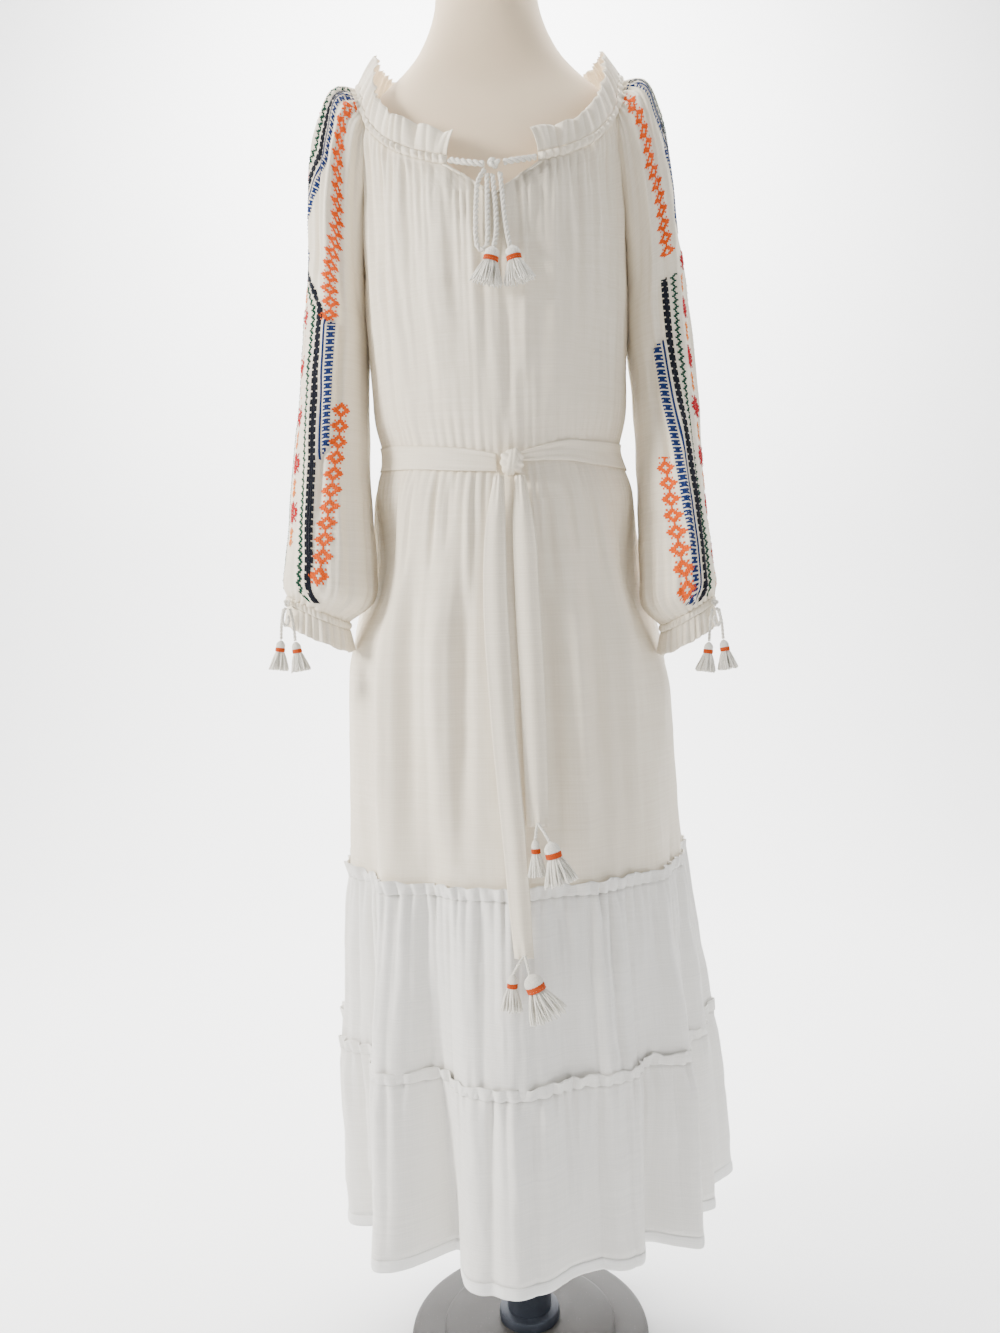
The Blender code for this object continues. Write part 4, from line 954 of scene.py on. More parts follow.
def front_side(side):
    """Grid of one half of the front, from the slit's edge to the raglan and side seams."""
    across = np.linspace(0, 1, PANEL_HALF + 1)
    share = np.linspace(0, 1, YOKE_ROWS)[:, None]
    top = (neckline_height(SLIT_TOP_ANGLE + across * (FRONT_SEAM_TOP - SLIT_TOP_ANGLE))
           - CASING_HEIGHT + TUCK_UNDER)
    high = top + (UNDERARM_Z - top) * share
    seam_top = float(neckline_height(FRONT_SEAM_TOP)) - CASING_HEIGHT
    seam = seam_top + (UNDERARM_Z - seam_top) * share
    start = slit_angle(high[:, :1])
    high_angles = start + across * (read_table(RAGLAN_SEAMS, seam, 1)
                                    - ease_in_degrees(seam, SEAM_EASE) - start)
    low_angles = np.broadcast_to(across * SIDE_SEAM_ANGLE, (SKIRT_ROWS, len(across)))
    angles = side * np.concatenate([high_angles, low_angles])
    heights = np.concatenate([high, skirt_heights(side * across * SIDE_SEAM_ANGLE)])
    along_top = angles * GATHER_RUN + 0.6
    relief = body_relief(angles, heights, along_top, top - heights, 21)
    return body_point(angles, heights, relief)


def back_grid():
    """Grid of the back, from one raglan seam round to the other."""
    across = np.linspace(-1, 1, BACK_COLUMNS + 1)
    share = np.linspace(0, 1, YOKE_ROWS)[:, None]
    top = neckline_height(180.0 + across * BACK_SEAM_TOP) - CASING_HEIGHT + TUCK_UNDER
    high = top + (UNDERARM_Z - top) * share
    seam = float(top[0]) + (UNDERARM_Z - float(top[0])) * share
    high_angles = across * (read_table(RAGLAN_SEAMS, seam, 2) - ease_in_degrees(seam, SEAM_EASE))
    low_angles = np.broadcast_to(across * SIDE_SEAM_ANGLE, (SKIRT_ROWS, len(across)))
    angles = 180.0 + np.concatenate([high_angles, low_angles])
    heights = np.concatenate([high, skirt_heights(180.0 + across * SIDE_SEAM_ANGLE)])
    along_top = (angles - 180.0) * GATHER_RUN + 0.7
    relief = body_relief(angles, heights, along_top, top - heights, 41)
    return body_point(angles, heights, relief)


def neck_band(low, high, rows, columns, count, shape):
    """A band round the neckline: shape(share, ridge, angle) gives its stand-off, rise and
    swing."""
    angles = np.linspace(SLIT_TOP_ANGLE - 0.15, 360.0 - SLIT_TOP_ANGLE + 0.15, columns + 1)
    share = np.linspace(0, 1, rows)[:, None]
    ridge = ridges(angles / 360.0 * count, 61, count)[None, :]
    out, rise, swing = shape(share, ridge, angles)
    up = low + (high - low) * share + rise
    seam = neckline_height(angles)
    base = body_point(angles, seam)
    turn = np.radians(angles)
    lean = -0.65 * np.abs(np.sin(turn)) ** 3 * np.maximum(up, 0.0)
    x = base[:, 0] + (out + lean) * np.sin(turn) - swing * np.sign(wrap(angles))
    y = base[:, 1] - out * np.cos(turn)
    return np.stack([x, y, seam + up], axis=-1)


def casing_shape(share, ridge, angles):
    """A rolled tube with gathered ribs."""
    round_out = np.sin(math.pi * share) ** 0.6
    pinch = 0.0004 * np.sin(math.pi * 2 * share) * np.roll(ridge, 3)
    return 0.0010 + round_out * (0.0030 + 0.0034 * ridge), pinch, 0.0 * share * ridge


def ruffle_shape(share, ridge, angles):
    """Pleats that open towards the free edge, which is a little uneven."""
    wide = ridges(angles / 360.0 * 29, 71, 29)[None, :]
    loose = drift(angles / 360.0 * 47, 0.0, 47, 73)[None, :]
    tall = drift(angles / 360.0 * 21, 2.0, 21, 74)[None, :]
    away = np.abs(wrap(angles)) - SLIT_TOP_ANGLE
    flare = np.exp(-((away / 7.0) ** 2))[None, :]
    front = 0.75 + 0.25 * np.cos(np.radians(angles))[None, :] ** 2
    out = 0.0010 + 0.0016 * ridge * (1 - share)
    out = out + (front * share ** 0.9
                 * (0.0038 * ridge * (0.8 + 0.5 * loose) + 0.0042 * wide + 0.0030 * loose))
    out = out + flare * share * 0.0050 * (1 - share * 0.3)
    out = out - 0.0016 * share ** 3 * (1 + tall)
    rise = (share ** 2 * (0.0016 * wide - 0.0007 * ridge + 0.0026 * tall)
            - 0.0030 * flare * share ** 2)
    return out, rise, 0.0090 * flare * share ** 1.3


# ---------------------------------------------------------------- sleeves
def side_of(side_name):
    return -1.0 if side_name == "left" else 1.0


def seam_point(share, side, column):
    """The raglan seam's point at a share of the way down to the underarm."""
    top_angle = FRONT_SEAM_TOP if column == 1 else 180.0 - BACK_SEAM_TOP
    top = float(neckline_height(top_angle)) - CASING_HEIGHT
    height = top + (UNDERARM_Z - top) * share
    angle = float(read_table(RAGLAN_SEAMS, height, column) + ease_in_degrees(height, SEAM_EASE))
    return body_point(side * (angle if column == 1 else 180.0 - angle), height, 0.0003)


def sleeve_ring(side, turns, ring):
    """A closed ring of a hanging sleeve: an ellipse tilted from its inner to its outer edge."""
    inner_x, inner_z, outer_x, outer_z, middle_y, half_depth = ring
    level = (1 - np.cos(turns * math.pi)) / 2
    x = side * (outer_x + (inner_x - outer_x) * level)
    z = outer_z + (inner_z - outer_z) * level
    y = GARMENT_Y + middle_y + half_depth * np.sin(turns * math.pi)
    return np.stack([x, y, z], axis=-1)


def sleeve_form(side_name):
    """Plain sleeve: arcs from seam to seam over the crown, then closed rings, with cubics between
    them."""
    side = side_of(side_name)
    turns = np.linspace(-1, 1, SLEEVE_COLUMNS + 1)
    rows = []
    for share, crown_x, crown_z, half_depth in SLEEVE_CROWN[side_name]:
        if share == 0.0:
            angles = 90.0 + turns * np.where(turns < 0, 90.0 - FRONT_SEAM_TOP,
                                             90.0 - BACK_SEAM_TOP) * 0.995
            rows.append(body_point(side * angles,
                                   neckline_height(angles) - CASING_HEIGHT + TUCK_UNDER))
            continue
        points = np.zeros((len(turns), 3))
        for column, chosen in ((1, turns <= 0), (2, turns >= 0)):
            seam = seam_point(share, side, column)
            reach = min(abs(seam[1] - GARMENT_Y) / half_depth, 1.0) if share < 1.0 else 0.0
            widest = math.pi - math.asin(reach)
            half_width = (crown_x - abs(seam[0])) / (1 - math.cos(widest))
            turn = turns[chosen] * widest
            lift = (np.cos(turn) - math.cos(widest)) / (1 - math.cos(widest))
            points[chosen, 0] = side * (crown_x - half_width + half_width * np.cos(turn))
            points[chosen, 1] = GARMENT_Y + half_depth * np.sin(turn)
            points[chosen, 2] = seam[2] + (crown_z - seam[2]) * lift
        rows.append(points)
    rows += [sleeve_ring(side, turns, ring) for ring in SLEEVE_RINGS[side_name]]
    points = smooth_rows(np.array(rows), SLEEVE_ROWS)
    steps = np.linalg.norm(np.diff(np.array(rows), axis=0), axis=-1).mean(axis=-1)
    joined = steps[:5].sum() / steps.sum()
    closed = np.linspace(0, 1, SLEEVE_ROWS) >= joined - 0.004
    middle = (points[closed, 0] + points[closed, -1]) / 2
    points[closed, 0] = middle
    points[closed, -1] = middle
    return points


def arcs_of(points):
    """Metres of cloth across each row from the sleeve's crown, towards the front, and down the
    crown."""
    steps = np.linalg.norm(np.diff(points, axis=1), axis=2)
    run = np.concatenate([np.zeros((len(points), 1)), np.cumsum(steps, axis=1)], axis=1)
    crown = points.shape[1] // 2
    down = np.linalg.norm(np.diff(points[:, crown], axis=0), axis=1)
    return run[:, crown:crown + 1] - run, np.concatenate([[0.0], np.cumsum(down)])


def sleeve_relief(side_name, arcs, along):
    """Gathers at the neck and cuff, lengthwise folds, tucks and a slight crumple, outwards."""
    seed = 101 if side_name == "left" else 151
    turns = np.linspace(-1, 1, arcs.shape[1])[None, :]
    share = (along / along[-1])[:, None]
    from_cuff = (along[-1] - along)[:, None]
    along = along[:, None]
    out = 0.0032 * ridges(turns * 15, seed) * np.exp(-along / 0.060)
    out += 0.0034 * ridges(turns * 6.0, seed + 2) * np.exp(-along / 0.18) * ease(along / 0.03)
    out += 0.0032 * ridges(turns * 14, seed + 4) * np.exp(-from_cuff / 0.034)
    out += 0.0046 * ridges(turns * 7.0,
                           seed + 6) * np.exp(-from_cuff / 0.090) * ease(from_cuff / 0.02)
    for start_turn, end_turn, start, end, half_width, depth in SLEEVE_FOLDS[side_name]:
        part = np.clip((share - start) / (end - start), 0, 1)
        line = start_turn + (end_turn - start_turn) * part
        across = np.clip(np.abs(turns - line) / half_width, 0, 1)
        out += 1.5 * depth * np.cos(math.pi / 2 * across) ** 2 * np.sin(math.pi * part) ** 0.7
    lay = SLEEVE_LAY[side_name]
    past = arcs - read_straight(lay, share, 2) - read_straight(lay, share, 1)
    ridge = (np.exp(-(((past + 0.006) / 0.0065) ** 2))
             - 1.5 * np.exp(-(((past - 0.003) / 0.0042) ** 2)))
    out += 0.0036 * read_straight(lay, share, 3) * ridge
    stars = (np.exp(-(((arcs - read_straight(lay, share, 4)) / 0.014) ** 2))
             * read_straight(lay, share, 5))
    bands = np.exp(-(((arcs - read_straight(lay, share, 1) - 0.032) / 0.022) ** 2))
    out *= 1 - 0.75 * np.maximum(stars, 0.7 * bands) * ease(share / 0.06)
    out += 0.00055 * drift(turns * 9 + 9, share * 20, 64, seed + 8)
    out += 0.0013 * drift(turns * 3 + share * 5 + 9, share * 17, 64,
                          seed + 9) * ease((share - 0.25) / 0.2)
    edge = np.minimum(1 - np.abs(turns), 0.12) / 0.12
    return out * (0.25 + 0.75 * ease(edge))


def sleeve_surface(side_name):
    """The sleeve's outer side with all its relief."""
    plain = sleeve_form(side_name)
    arcs, along = arcs_of(plain)
    return plain + side_of(side_name) * normals_of(plain) * sleeve_relief(side_name, arcs,
                                                                          along)[..., None]


def cuff_ring(side_name, drop, swell, columns, ripple):
    """A ring of a cuff: the sleeve's last ring, lowered by drop and pushed out by swell and a
    ripple."""
    turns = np.linspace(-1, 1, columns + 1)[:-1]
    points = sleeve_ring(side_of(side_name), turns, SLEEVE_RINGS[side_name][-1])
    away = points - points.mean(axis=0)
    away[:, 2] = 0.0
    length = np.linalg.norm(away, axis=1, keepdims=True)
    points = points + away / length * (swell + ripple)[:, None]
    points[:, 2] -= drop
    return points


# ---------------------------------------------------------------- embroidery
class SleeveMap:
    """Where a place on the flat sleeve lies: metres from its middle line, and metres down."""

    step = 0.001
    reach = 0.170

    def __init__(self, side_name):
        points = sleeve_surface(side_name)
        normals = normals_of(points) * side_of(side_name)
        self.arcs, self.along = arcs_of(sleeve_form(side_name))
        wanted = np.arange(-self.reach, self.reach, self.step)
        both = np.concatenate([points, normals], axis=2)
        self.table = np.array([
            np.stack([np.interp(wanted, arc[::-1], line[::-1, axis]) for axis in range(6)],
                     axis=-1)
            for arc, line in zip(self.arcs, both)])
        self.lay = SLEEVE_LAY[side_name]

    def find(self, arc, down):
        """Point and normal of the cloth at an arc and a distance down, read between the grid's
        points."""
        row = np.clip(np.interp(down, self.along, np.arange(len(self.along))), 0,
                      len(self.along) - 1.001)
        column = np.clip((arc + self.reach) / self.step, 0, self.table.shape[1] - 1.001)
        low_row = row.astype(int)
        low_column = column.astype(int)
        part_row = (row - low_row)[..., None]
        part_column = (column - low_column)[..., None]
        upper = (self.table[low_row, low_column] * (1 - part_column)
                 + self.table[low_row, low_column + 1] * part_column)
        lower = (self.table[low_row + 1, low_column] * (1 - part_column)
                 + self.table[low_row + 1, low_column + 1] * part_column)
        found = upper * (1 - part_row) + lower * part_row
        return found[..., :3], found[..., 3:]

    def lay_out(self, flat, down, star):
        """Arc of a place on the flat cloth, and whether it shows outside a tuck and clear of the
        seams."""
        share = down / self.along[-1]
        lay = [read_straight(self.lay, share, column) for column in range(1, 6)]
        squeeze = 0.86 + 0.14 * ease(share / 0.12)
        follow = 1 - 0.7 * np.clip((-flat - 0.0125) / 0.0855, 0, 1)
        arc = flat * squeeze + lay[0] * follow
        shown = flat < lay[1]
        if star:
            front = flat > 0
            arc = np.where(front, lay[3] + flat - STAR_PLACE, arc)
            shown = ~front | (lay[4] > 0.5)
        front_edge = np.interp(down, self.along, self.arcs[:, 0])
        back_edge = np.interp(down, self.along, self.arcs[:, -1])
        return arc, shown & (arc < front_edge - 0.004) & (arc > back_edge + 0.004)


def chart_cells(chart, middle, length, mirror):
    """Middles of the stitches of a chart that repeats down a sleeve: metres across and down."""
    marks = np.array([[mark == "#" for mark in line] for line in chart])
    down, across = np.nonzero(marks)
    repeats = int(length / (len(chart) * CELL))
    shift = np.arange(repeats)[:, None] * len(chart) * CELL
    side = -1 if mirror else 1
    x = (across - (marks.shape[1] - 1) / 2) * CELL * side + middle * side
    y = down * CELL + CELL / 2
    return np.broadcast_to(x, (repeats, len(x))).ravel(), (y + shift).ravel()


def blank(width, rows):
    return ("." * width,) * rows


def thread_plan(length):
    """Stitches of each colour on a whole sleeve."""
    wide = len(FLOWER[0])
    sprig_wide = tuple(line.center(wide, ".") for line in SPRIG)
    plan = {"red": [chart_cells(FLOWER + blank(wide, len(SPRIG) + 4), 0.0, length, False)],
            "amber": [chart_cells(blank(wide, len(FLOWER) + 2) + sprig_wide + blank(wide, 2), 0.0,
                                  length, False)]}
    for colour, chart, middle in SIDE_BANDS + (("orange", STAR, STAR_PLACE),):
        for mirror in (False, True):
            plan.setdefault(colour, []).append(chart_cells(chart, middle, length, mirror))
    return {colour: np.concatenate(parts, axis=1) for colour, parts in plan.items()}


def stitch_mesh(name, sleeve, cells, star):
    """Raised square stitches: four corners on the cloth and a higher middle, two faces to each
    pair of sides."""
    across, down = cells
    arc, shown = sleeve.lay_out(across, down, star)
    keep = shown & (down > 0.012) & (down < sleeve.along[-1] - 0.004)
    arc, down = arc[keep], down[keep]
    corners = np.array([(-1, -1), (1, -1), (1, 1), (-1, 1), (0, 0)]) * STITCH_HALF
    point, normal = sleeve.find(arc[:, None] + corners[:, 0], down[:, None] + corners[:, 1])
    lift = np.array([STITCH_FOOT] * 4 + [STITCH_TOP])
    point = point + normal * lift[:, None]
    first = np.arange(len(arc))[:, None, None] * 5
    faces = np.array([(0, 4, 1), (1, 4, 2), (2, 4, 3), (3, 4, 0)])
    wind = np.cross(point[:, 4] - point[:, 0], point[:, 1] - point[:, 4])
    inside_out = (wind * normal[:, 4]).sum(axis=-1) < 0
    faces = np.where(inside_out[:, None, None], faces[None, :, ::-1], faces[None]) + first
    return mesh_from(name, point.reshape(-1, 3), faces.reshape(-1, 3), smooth=False)


# ---------------------------------------------------------------- cords and tassels
def smooth_route(points, spacing):
    """Points along a smooth curve through a route's own points."""
    given = np.array(points, dtype=float)
    along = np.concatenate([[0.0], np.cumsum(np.linalg.norm(np.diff(given, axis=0), axis=1))])
    count = max(3, int(round(along[-1] / spacing)) + 1)
    return cubic(along, given, np.linspace(0, along[-1], count))


def tubes(paths, radii, sides, across=(0.0, 1.0, 0.0)):
    """Round tubes along many paths: rings square to each path, drawn to a point at both ends."""
    tangent = np.gradient(paths, axis=1)
    tangent /= np.maximum(np.linalg.norm(tangent, axis=2, keepdims=True), 1e-12)
    aim = np.array(across, dtype=float)
    first = aim - (tangent @ aim)[..., None] * tangent
    first /= np.maximum(np.linalg.norm(first, axis=2, keepdims=True), 1e-12)
    second = np.cross(tangent, first)
    turn = round_turn(sides)
    ring = (np.cos(turn)[:, None] * first[:, :, None, :]
            + np.sin(turn)[:, None] * second[:, :, None, :])
    thickness = radii * np.ones(paths.shape[:2])
    thickness[:, [0, -1]] = 0.0
    points = paths[:, :, None, :] + ring * thickness[..., None, None]
    quads = grid_quads(paths.shape[1], sides, closed=True, flip=True)[0]
    count = paths.shape[1] * sides
    quads = quads[None] + np.arange(len(paths))[:, None, None] * count
    return points.reshape(-1, 3), quads.reshape(-1, 4)


def join(parts):
    """One list of points and faces from several."""
    start = 0
    all_points = []
    all_faces = []
    for points, faces in parts:
        all_points.append(points)
        all_faces.append(faces + start)
        start += len(points)
    return np.concatenate(all_points), np.concatenate(all_faces)


def closed_mesh(name, points, quads):
    """A mesh whose coinciding points are merged, so that tips and poles are closed, with faces
    outwards."""
    mesh = mesh_from(name, points, quads)
    work = bmesh.new()
    work.from_mesh(mesh)
    bmesh.ops.remove_doubles(work, verts=work.verts, dist=0.000002)
    bmesh.ops.dissolve_degenerate(work, edges=work.edges, dist=0.000001)
    bmesh.ops.recalc_face_normals(work, faces=work.faces)
    work.to_mesh(mesh)
    work.free()
    mesh.polygons.foreach_set("use_smooth", np.ones(len(mesh.polygons), dtype=bool))
    return mesh


def twisted(path, diameter):
    """Two plies wound round a path: each is a tube half as thick on a helix."""
    length = run_length(path)
    count = max(24, int(length / (diameter * 0.22)))
    fine = smooth_route(path, length / count)
    tangent = np.gradient(fine, axis=0)
    tangent /= np.linalg.norm(tangent, axis=1, keepdims=True)
    aim = np.array((0.0, 1.0, 0.0))
    first = aim - (tangent @ aim)[:, None] * tangent
    first /= np.linalg.norm(first, axis=1, keepdims=True)
    second = np.cross(tangent, first)
    turn = np.linspace(0, length, len(fine)) / (diameter * 2.3) * 2 * math.pi
    plies = [fine + diameter * 0.25
             * (np.cos(turn + half)[:, None] * first + np.sin(turn + half)[:, None] * second)
             for half in (0.0, math.pi)]
    return tubes(np.array(plies), diameter * 0.31, 8)


def twisted_cord(name, path, diameter, finish, node):
    made = new_object(name, closed_mesh(name, *twisted(path, diameter)), finish)
    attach(made, "root")
    stands_for(made, node)
    return made


def panel_route(rows, diameter):
    """Put a route of x, height and stand-off in front of the front panel."""
    clear = 0.0006 + diameter / 2
    return np.array([(x, float(front_y(x, z)) - clear - off, z) for x, z, off in rows])


def round_knot(centre, size, diameter):
    """A tight knot: a tube along a trefoil that fills the size."""
    turn = np.linspace(0, 2 * math.pi, 121)
    shape = np.stack([np.sin(turn) + 2 * np.sin(2 * turn), np.cos(turn) - 2 * np.cos(2 * turn),
                      -np.sin(3 * turn)], axis=-1)
    shape = shape[:, [0, 2, 1]] / np.array((3.0, 1.0, 3.0)) * (np.array(size) - diameter) / 2
    path = shape + np.array(centre)
    tangent = np.gradient(path, axis=0)
    tangent[[0, -1]] = tangent[0] + tangent[-1]
    tangent /= np.linalg.norm(tangent, axis=1, keepdims=True)
    aim = np.array((0.3, 0.9, 0.3))
    first = np.cross(tangent, aim)
    first /= np.linalg.norm(first, axis=1, keepdims=True)
    second = np.cross(tangent, first)
    around = round_turn(KNOT_SIDES)
    ring = np.cos(around)[:, None] * first[:, None] + np.sin(around)[:, None] * second[:, None]
    points = path[:, None] + ring * diameter / 2
    quads = grid_quads(len(path), KNOT_SIDES, closed=True)[0]
    core_turn = round_turn(CORE_COLUMNS)
    rise = np.linspace(-math.pi / 2, math.pi / 2, CORE_ROWS)[:, None]
    core = np.stack([np.cos(rise) * np.cos(core_turn), np.cos(rise) * np.sin(core_turn),
                     np.sin(rise) * np.ones(CORE_COLUMNS)], axis=-1)
    core = core * np.array(size) * 0.36 + np.array(centre)
    return join([(points.reshape(-1, 3), quads),
                 (core.reshape(-1, 3), grid_quads(CORE_ROWS, CORE_COLUMNS, closed=True)[0])])


def turned(profile, columns, ripple=None):
    """A turned shape from (radius, height) rows; ripple(turn, row) scales its radius."""
    turn = round_turn(columns)
    radius = np.array([row[0] for row in profile])[:, None]
    height = np.array([row[1] for row in profile])[:, None]
    if ripple is not None:
        radius = radius * ripple(turn[None, :], height)
    points = np.stack([radius * np.cos(turn), radius * np.sin(turn), height * np.ones(columns)],
                      axis=-1)
    return points.reshape(-1, 3), grid_quads(len(profile), columns, closed=True)[0]


def place_tassel(points, place):
    """Flatten a tassel a little, tilt it about its top, and hang it in its place."""
    x, top, y, _, _, tilt = place
    angle = math.radians(tilt)
    points = points * np.array((1.0, TASSEL_FLATNESS, 1.0))
    return np.stack([points[:, 0] * math.cos(angle) - points[:, 2] * math.sin(angle) + x,
                     points[:, 1] + GARMENT_Y + y,
                     points[:, 0] * math.sin(angle) + points[:, 2] * math.cos(angle) + top],
                     axis=-1)


def tassel_threads(length, spread, seed):
    """Skirt of a tassel: threads that leave the tie, swell, and end at slightly uneven heights."""
    draw = np.random.default_rng(seed)
    count = TASSEL_THREADS
    part = np.array([0.0, 0.03, 0.22, 0.45, 0.72, 0.97, 1.0])[None, :]
    start = np.sqrt(draw.uniform(0, 1, (count, 1))) * 0.125
    fan = start / 0.125
    turn = draw.uniform(0, 2 * math.pi, (count, 1))
    end_turn = turn + draw.uniform(-0.35, 0.35, (count, 1))
    drop = draw.uniform(0.93, 1.0, (count, 1))
    angle = turn + (end_turn - turn) * part
    radius = (start + (0.45 * fan - start) * part ** 0.75) * spread * length
    wobble = draw.uniform(-1, 1, (count, 1)) * np.sin(math.pi * 1.6 * part) * 0.012 * length
    height = -(TASSEL_HEAD + (drop - TASSEL_HEAD) * part) * length
    paths = np.stack([radius * np.cos(angle) + wobble, radius * np.sin(angle), height], axis=-1)
    return tubes(paths, 0.0200 * length, 4)


def tassel_head(length, spread):
    """Head of a tassel: a rounded bundle with ridges of thread, closed at its top and under the
    tie."""
    share = np.linspace(0, 1, 19)
    bulge = np.sin(math.pi * np.clip(share * 0.93, 0,
                                     1)) ** 0.62 * 0.195 + 0.10 * ease((share - 0.72) / 0.28)
    bulge[0] = 0.0
    bulge[-1] = 0.0
    profile = [(radius * spread * length, -part * (TASSEL_HEAD + 0.02) * length)
               for part, radius in zip(share, bulge)]
    return turned(profile[::-1], 48, lambda turn,
                  height: 1 + 0.05 * np.sin(turn * 16 + height * 260))


def tassel_tie(length, spread):
    """Tie of a tassel: three turns of coloured thread round its waist."""
    rings = []
    for turn_number in range(3):
        level = -(0.278 + 0.036 * turn_number) * length
        around = np.linspace(0, 2 * math.pi, 37)
        path = np.stack([0.178 * spread * length * np.cos(around),
                         0.178 * spread * length * np.sin(around),
                         np.full_like(around, level)], axis=-1)
        rings.append(path)
    return tubes(np.array(rings), 0.030 * length, 6, across=(0.0, 0.0, 1.0))


def make_tassel(node, place, seed):
    """A cotton tassel and its tie, for one CAD tassel."""
    length, spread = place[3], place[4]
    points, quads = join([tassel_head(length, spread), tassel_threads(length, spread, seed)])
    body = new_object(node + "_threads", closed_mesh(node, place_tassel(points, place), quads),
                      cotton())
    points, quads = tassel_tie(length, spread)
    tie = new_object(node + "_tie", closed_mesh(node + " tie", place_tassel(points, place), quads),
                     thread_material("tassel tie", tuple(bpy.context.scene.dress_threads.tie)))
    for piece in (body, tie):
        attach(piece, "root")
    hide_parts(node)
    return body, tie


def cuff_places(side_name):
    """Places of a cuff's tie: knot, loop, the two cords and the two tassels."""
    side = side_of(side_name)
    outer_x, outer_z, middle_y = SLEEVE_RINGS[side_name][-1][2:5]
    x = outer_x + CUFF_TIE_SHIFT[0]
    y = GARMENT_Y + middle_y + CUFF_TIE_SHIFT[1]
    z = outer_z + CUFF_TIE_SHIFT[2]
    places = {"knot": (side * x, y, z),
              "loop": np.array([(side * (x + a), y + b, z + c) for a, b, c in CUFF_LOOP])}
    for letter, shift, drop in CUFF_ENDS:
        route = ((0.45, 0.0060), (0.80, drop / 2), (1.00, drop))
        places["cord_" + letter] = np.array([(side * (x + shift * share), y + CUFF_END_Y, z - fall)
                                             for share, fall in route])
        tilt = 8.0 * side * math.copysign(1.0, shift)
        places["tassel_" + letter] = (side * (x + shift), z - drop - 0.0003,
                                      y + CUFF_END_Y - GARMENT_Y,
                                      0.033, 0.75, tilt)
    return places


# ---------------------------------------------------------------- belt
def belt_surface():
    """Belt round the waist: a soft band with a lengthwise fold, drawn narrow into the knot at
    both ends."""
    angles = np.linspace(7.0, 357.6, 401)
    share = np.linspace(0.5, -0.5, 13)[:, None]
    width = read_table(BELT_SECTIONS, angles, 1)
    rise = read_table(BELT_SECTIONS, angles, 2)
    near_knot = np.exp(-((wrap(angles) / 30.0) ** 2))
    fold_line = np.where(wrap(angles) > 0, 0.02, 0.18)
    fold = 0.0012 * ease((fold_line - share) / 0.07) * (0.35 + 0.65 * near_knot)
    crease = 0.0009 * near_knot * np.sin(share * 17 + angles * 0.05)
    wave = 0.0006 * drift(angles / 9.0, share * 3 + 5, 40, 201)
    return body_point(angles, belt_height(angles) + rise + share * width,
                      0.0026 + fold + crease + wave)


def tail_surface(table, seed):
    """A hanging end of the belt: a strip with a soft lengthwise fold that turns slightly as it
    hangs."""
    heights = np.linspace(table[0][0], table[-1][0], 120)[:, None]
    share = np.linspace(-0.5, 0.5, 15)[None, :]
    width = read_table(table, heights, 2)
    sway = 0.0012 * drift(heights / 0.09, 0.0, 64, seed)
    twist = 0.10 * drift(heights / 0.13, 2.0, 64, seed)
    gather = (ease((heights - heights[0] + 0.05) / 0.05)
              + 0.8 * ease((heights[-1] + 0.03 - heights) / 0.03))
    cup = (0.0016 * np.cos(math.pi * share * 2) + 0.0012 * np.sin(math.pi * share * 5) * gather)
    x = read_table(table, heights, 1) + sway + share * width
    y = read_table(table, heights, 3) + GARMENT_Y - cup + twist * share * width
    return np.stack([x + 0 * share, y + 0 * x, heights + 0 * share], axis=-1)


def belt_knot_parts():
    """The belt's knot: a soft lump pleated on the slant, and a band that wraps over it."""
    x, z = BELT_KNOT
    centre = np.array((x, float(front_y(x, z)) - 0.0105, z))
    turn = round_turn(72)[None, :]
    rise = np.linspace(-math.pi / 2, math.pi / 2, 41)[:, None]
    square = 0.72
    cos_rise = np.cos(rise) ** square
    side_x = np.sign(np.cos(turn)) * np.abs(np.cos(turn)) ** square
    side_y = np.sign(np.sin(turn)) * np.abs(np.sin(turn)) ** square
    lump = np.stack([cos_rise * side_x, cos_rise * side_y,
                     np.sign(np.sin(rise)) * np.abs(np.sin(rise)) ** square * np.ones_like(turn)],
                     axis=-1)
    slant = lump[..., 0] * 0.5 + lump[..., 2]
    lump = lump * (1 + 0.075 * np.sin(slant * 9.0))[..., None] * np.array((0.0118, 0.0080, 0.0118))
    around = round_turn(80)[:, None]
    share = np.linspace(-1, 1, 15)[None, :]
    arch = (np.sqrt(np.maximum(1 - share ** 2 * 0.55, 0.0))
            * (1 + 0.05 * np.sin(share * 8.0 + around)))
    wrap_x = share * 0.0062 + 0.0030 * np.cos(around)
    wrap_y = 0.0086 * np.sin(around) * arch
    wrap_z = 0.0128 * np.cos(around) * arch
    band = np.stack([wrap_x, wrap_y, wrap_z], axis=-1)
    return lump + centre, band + centre


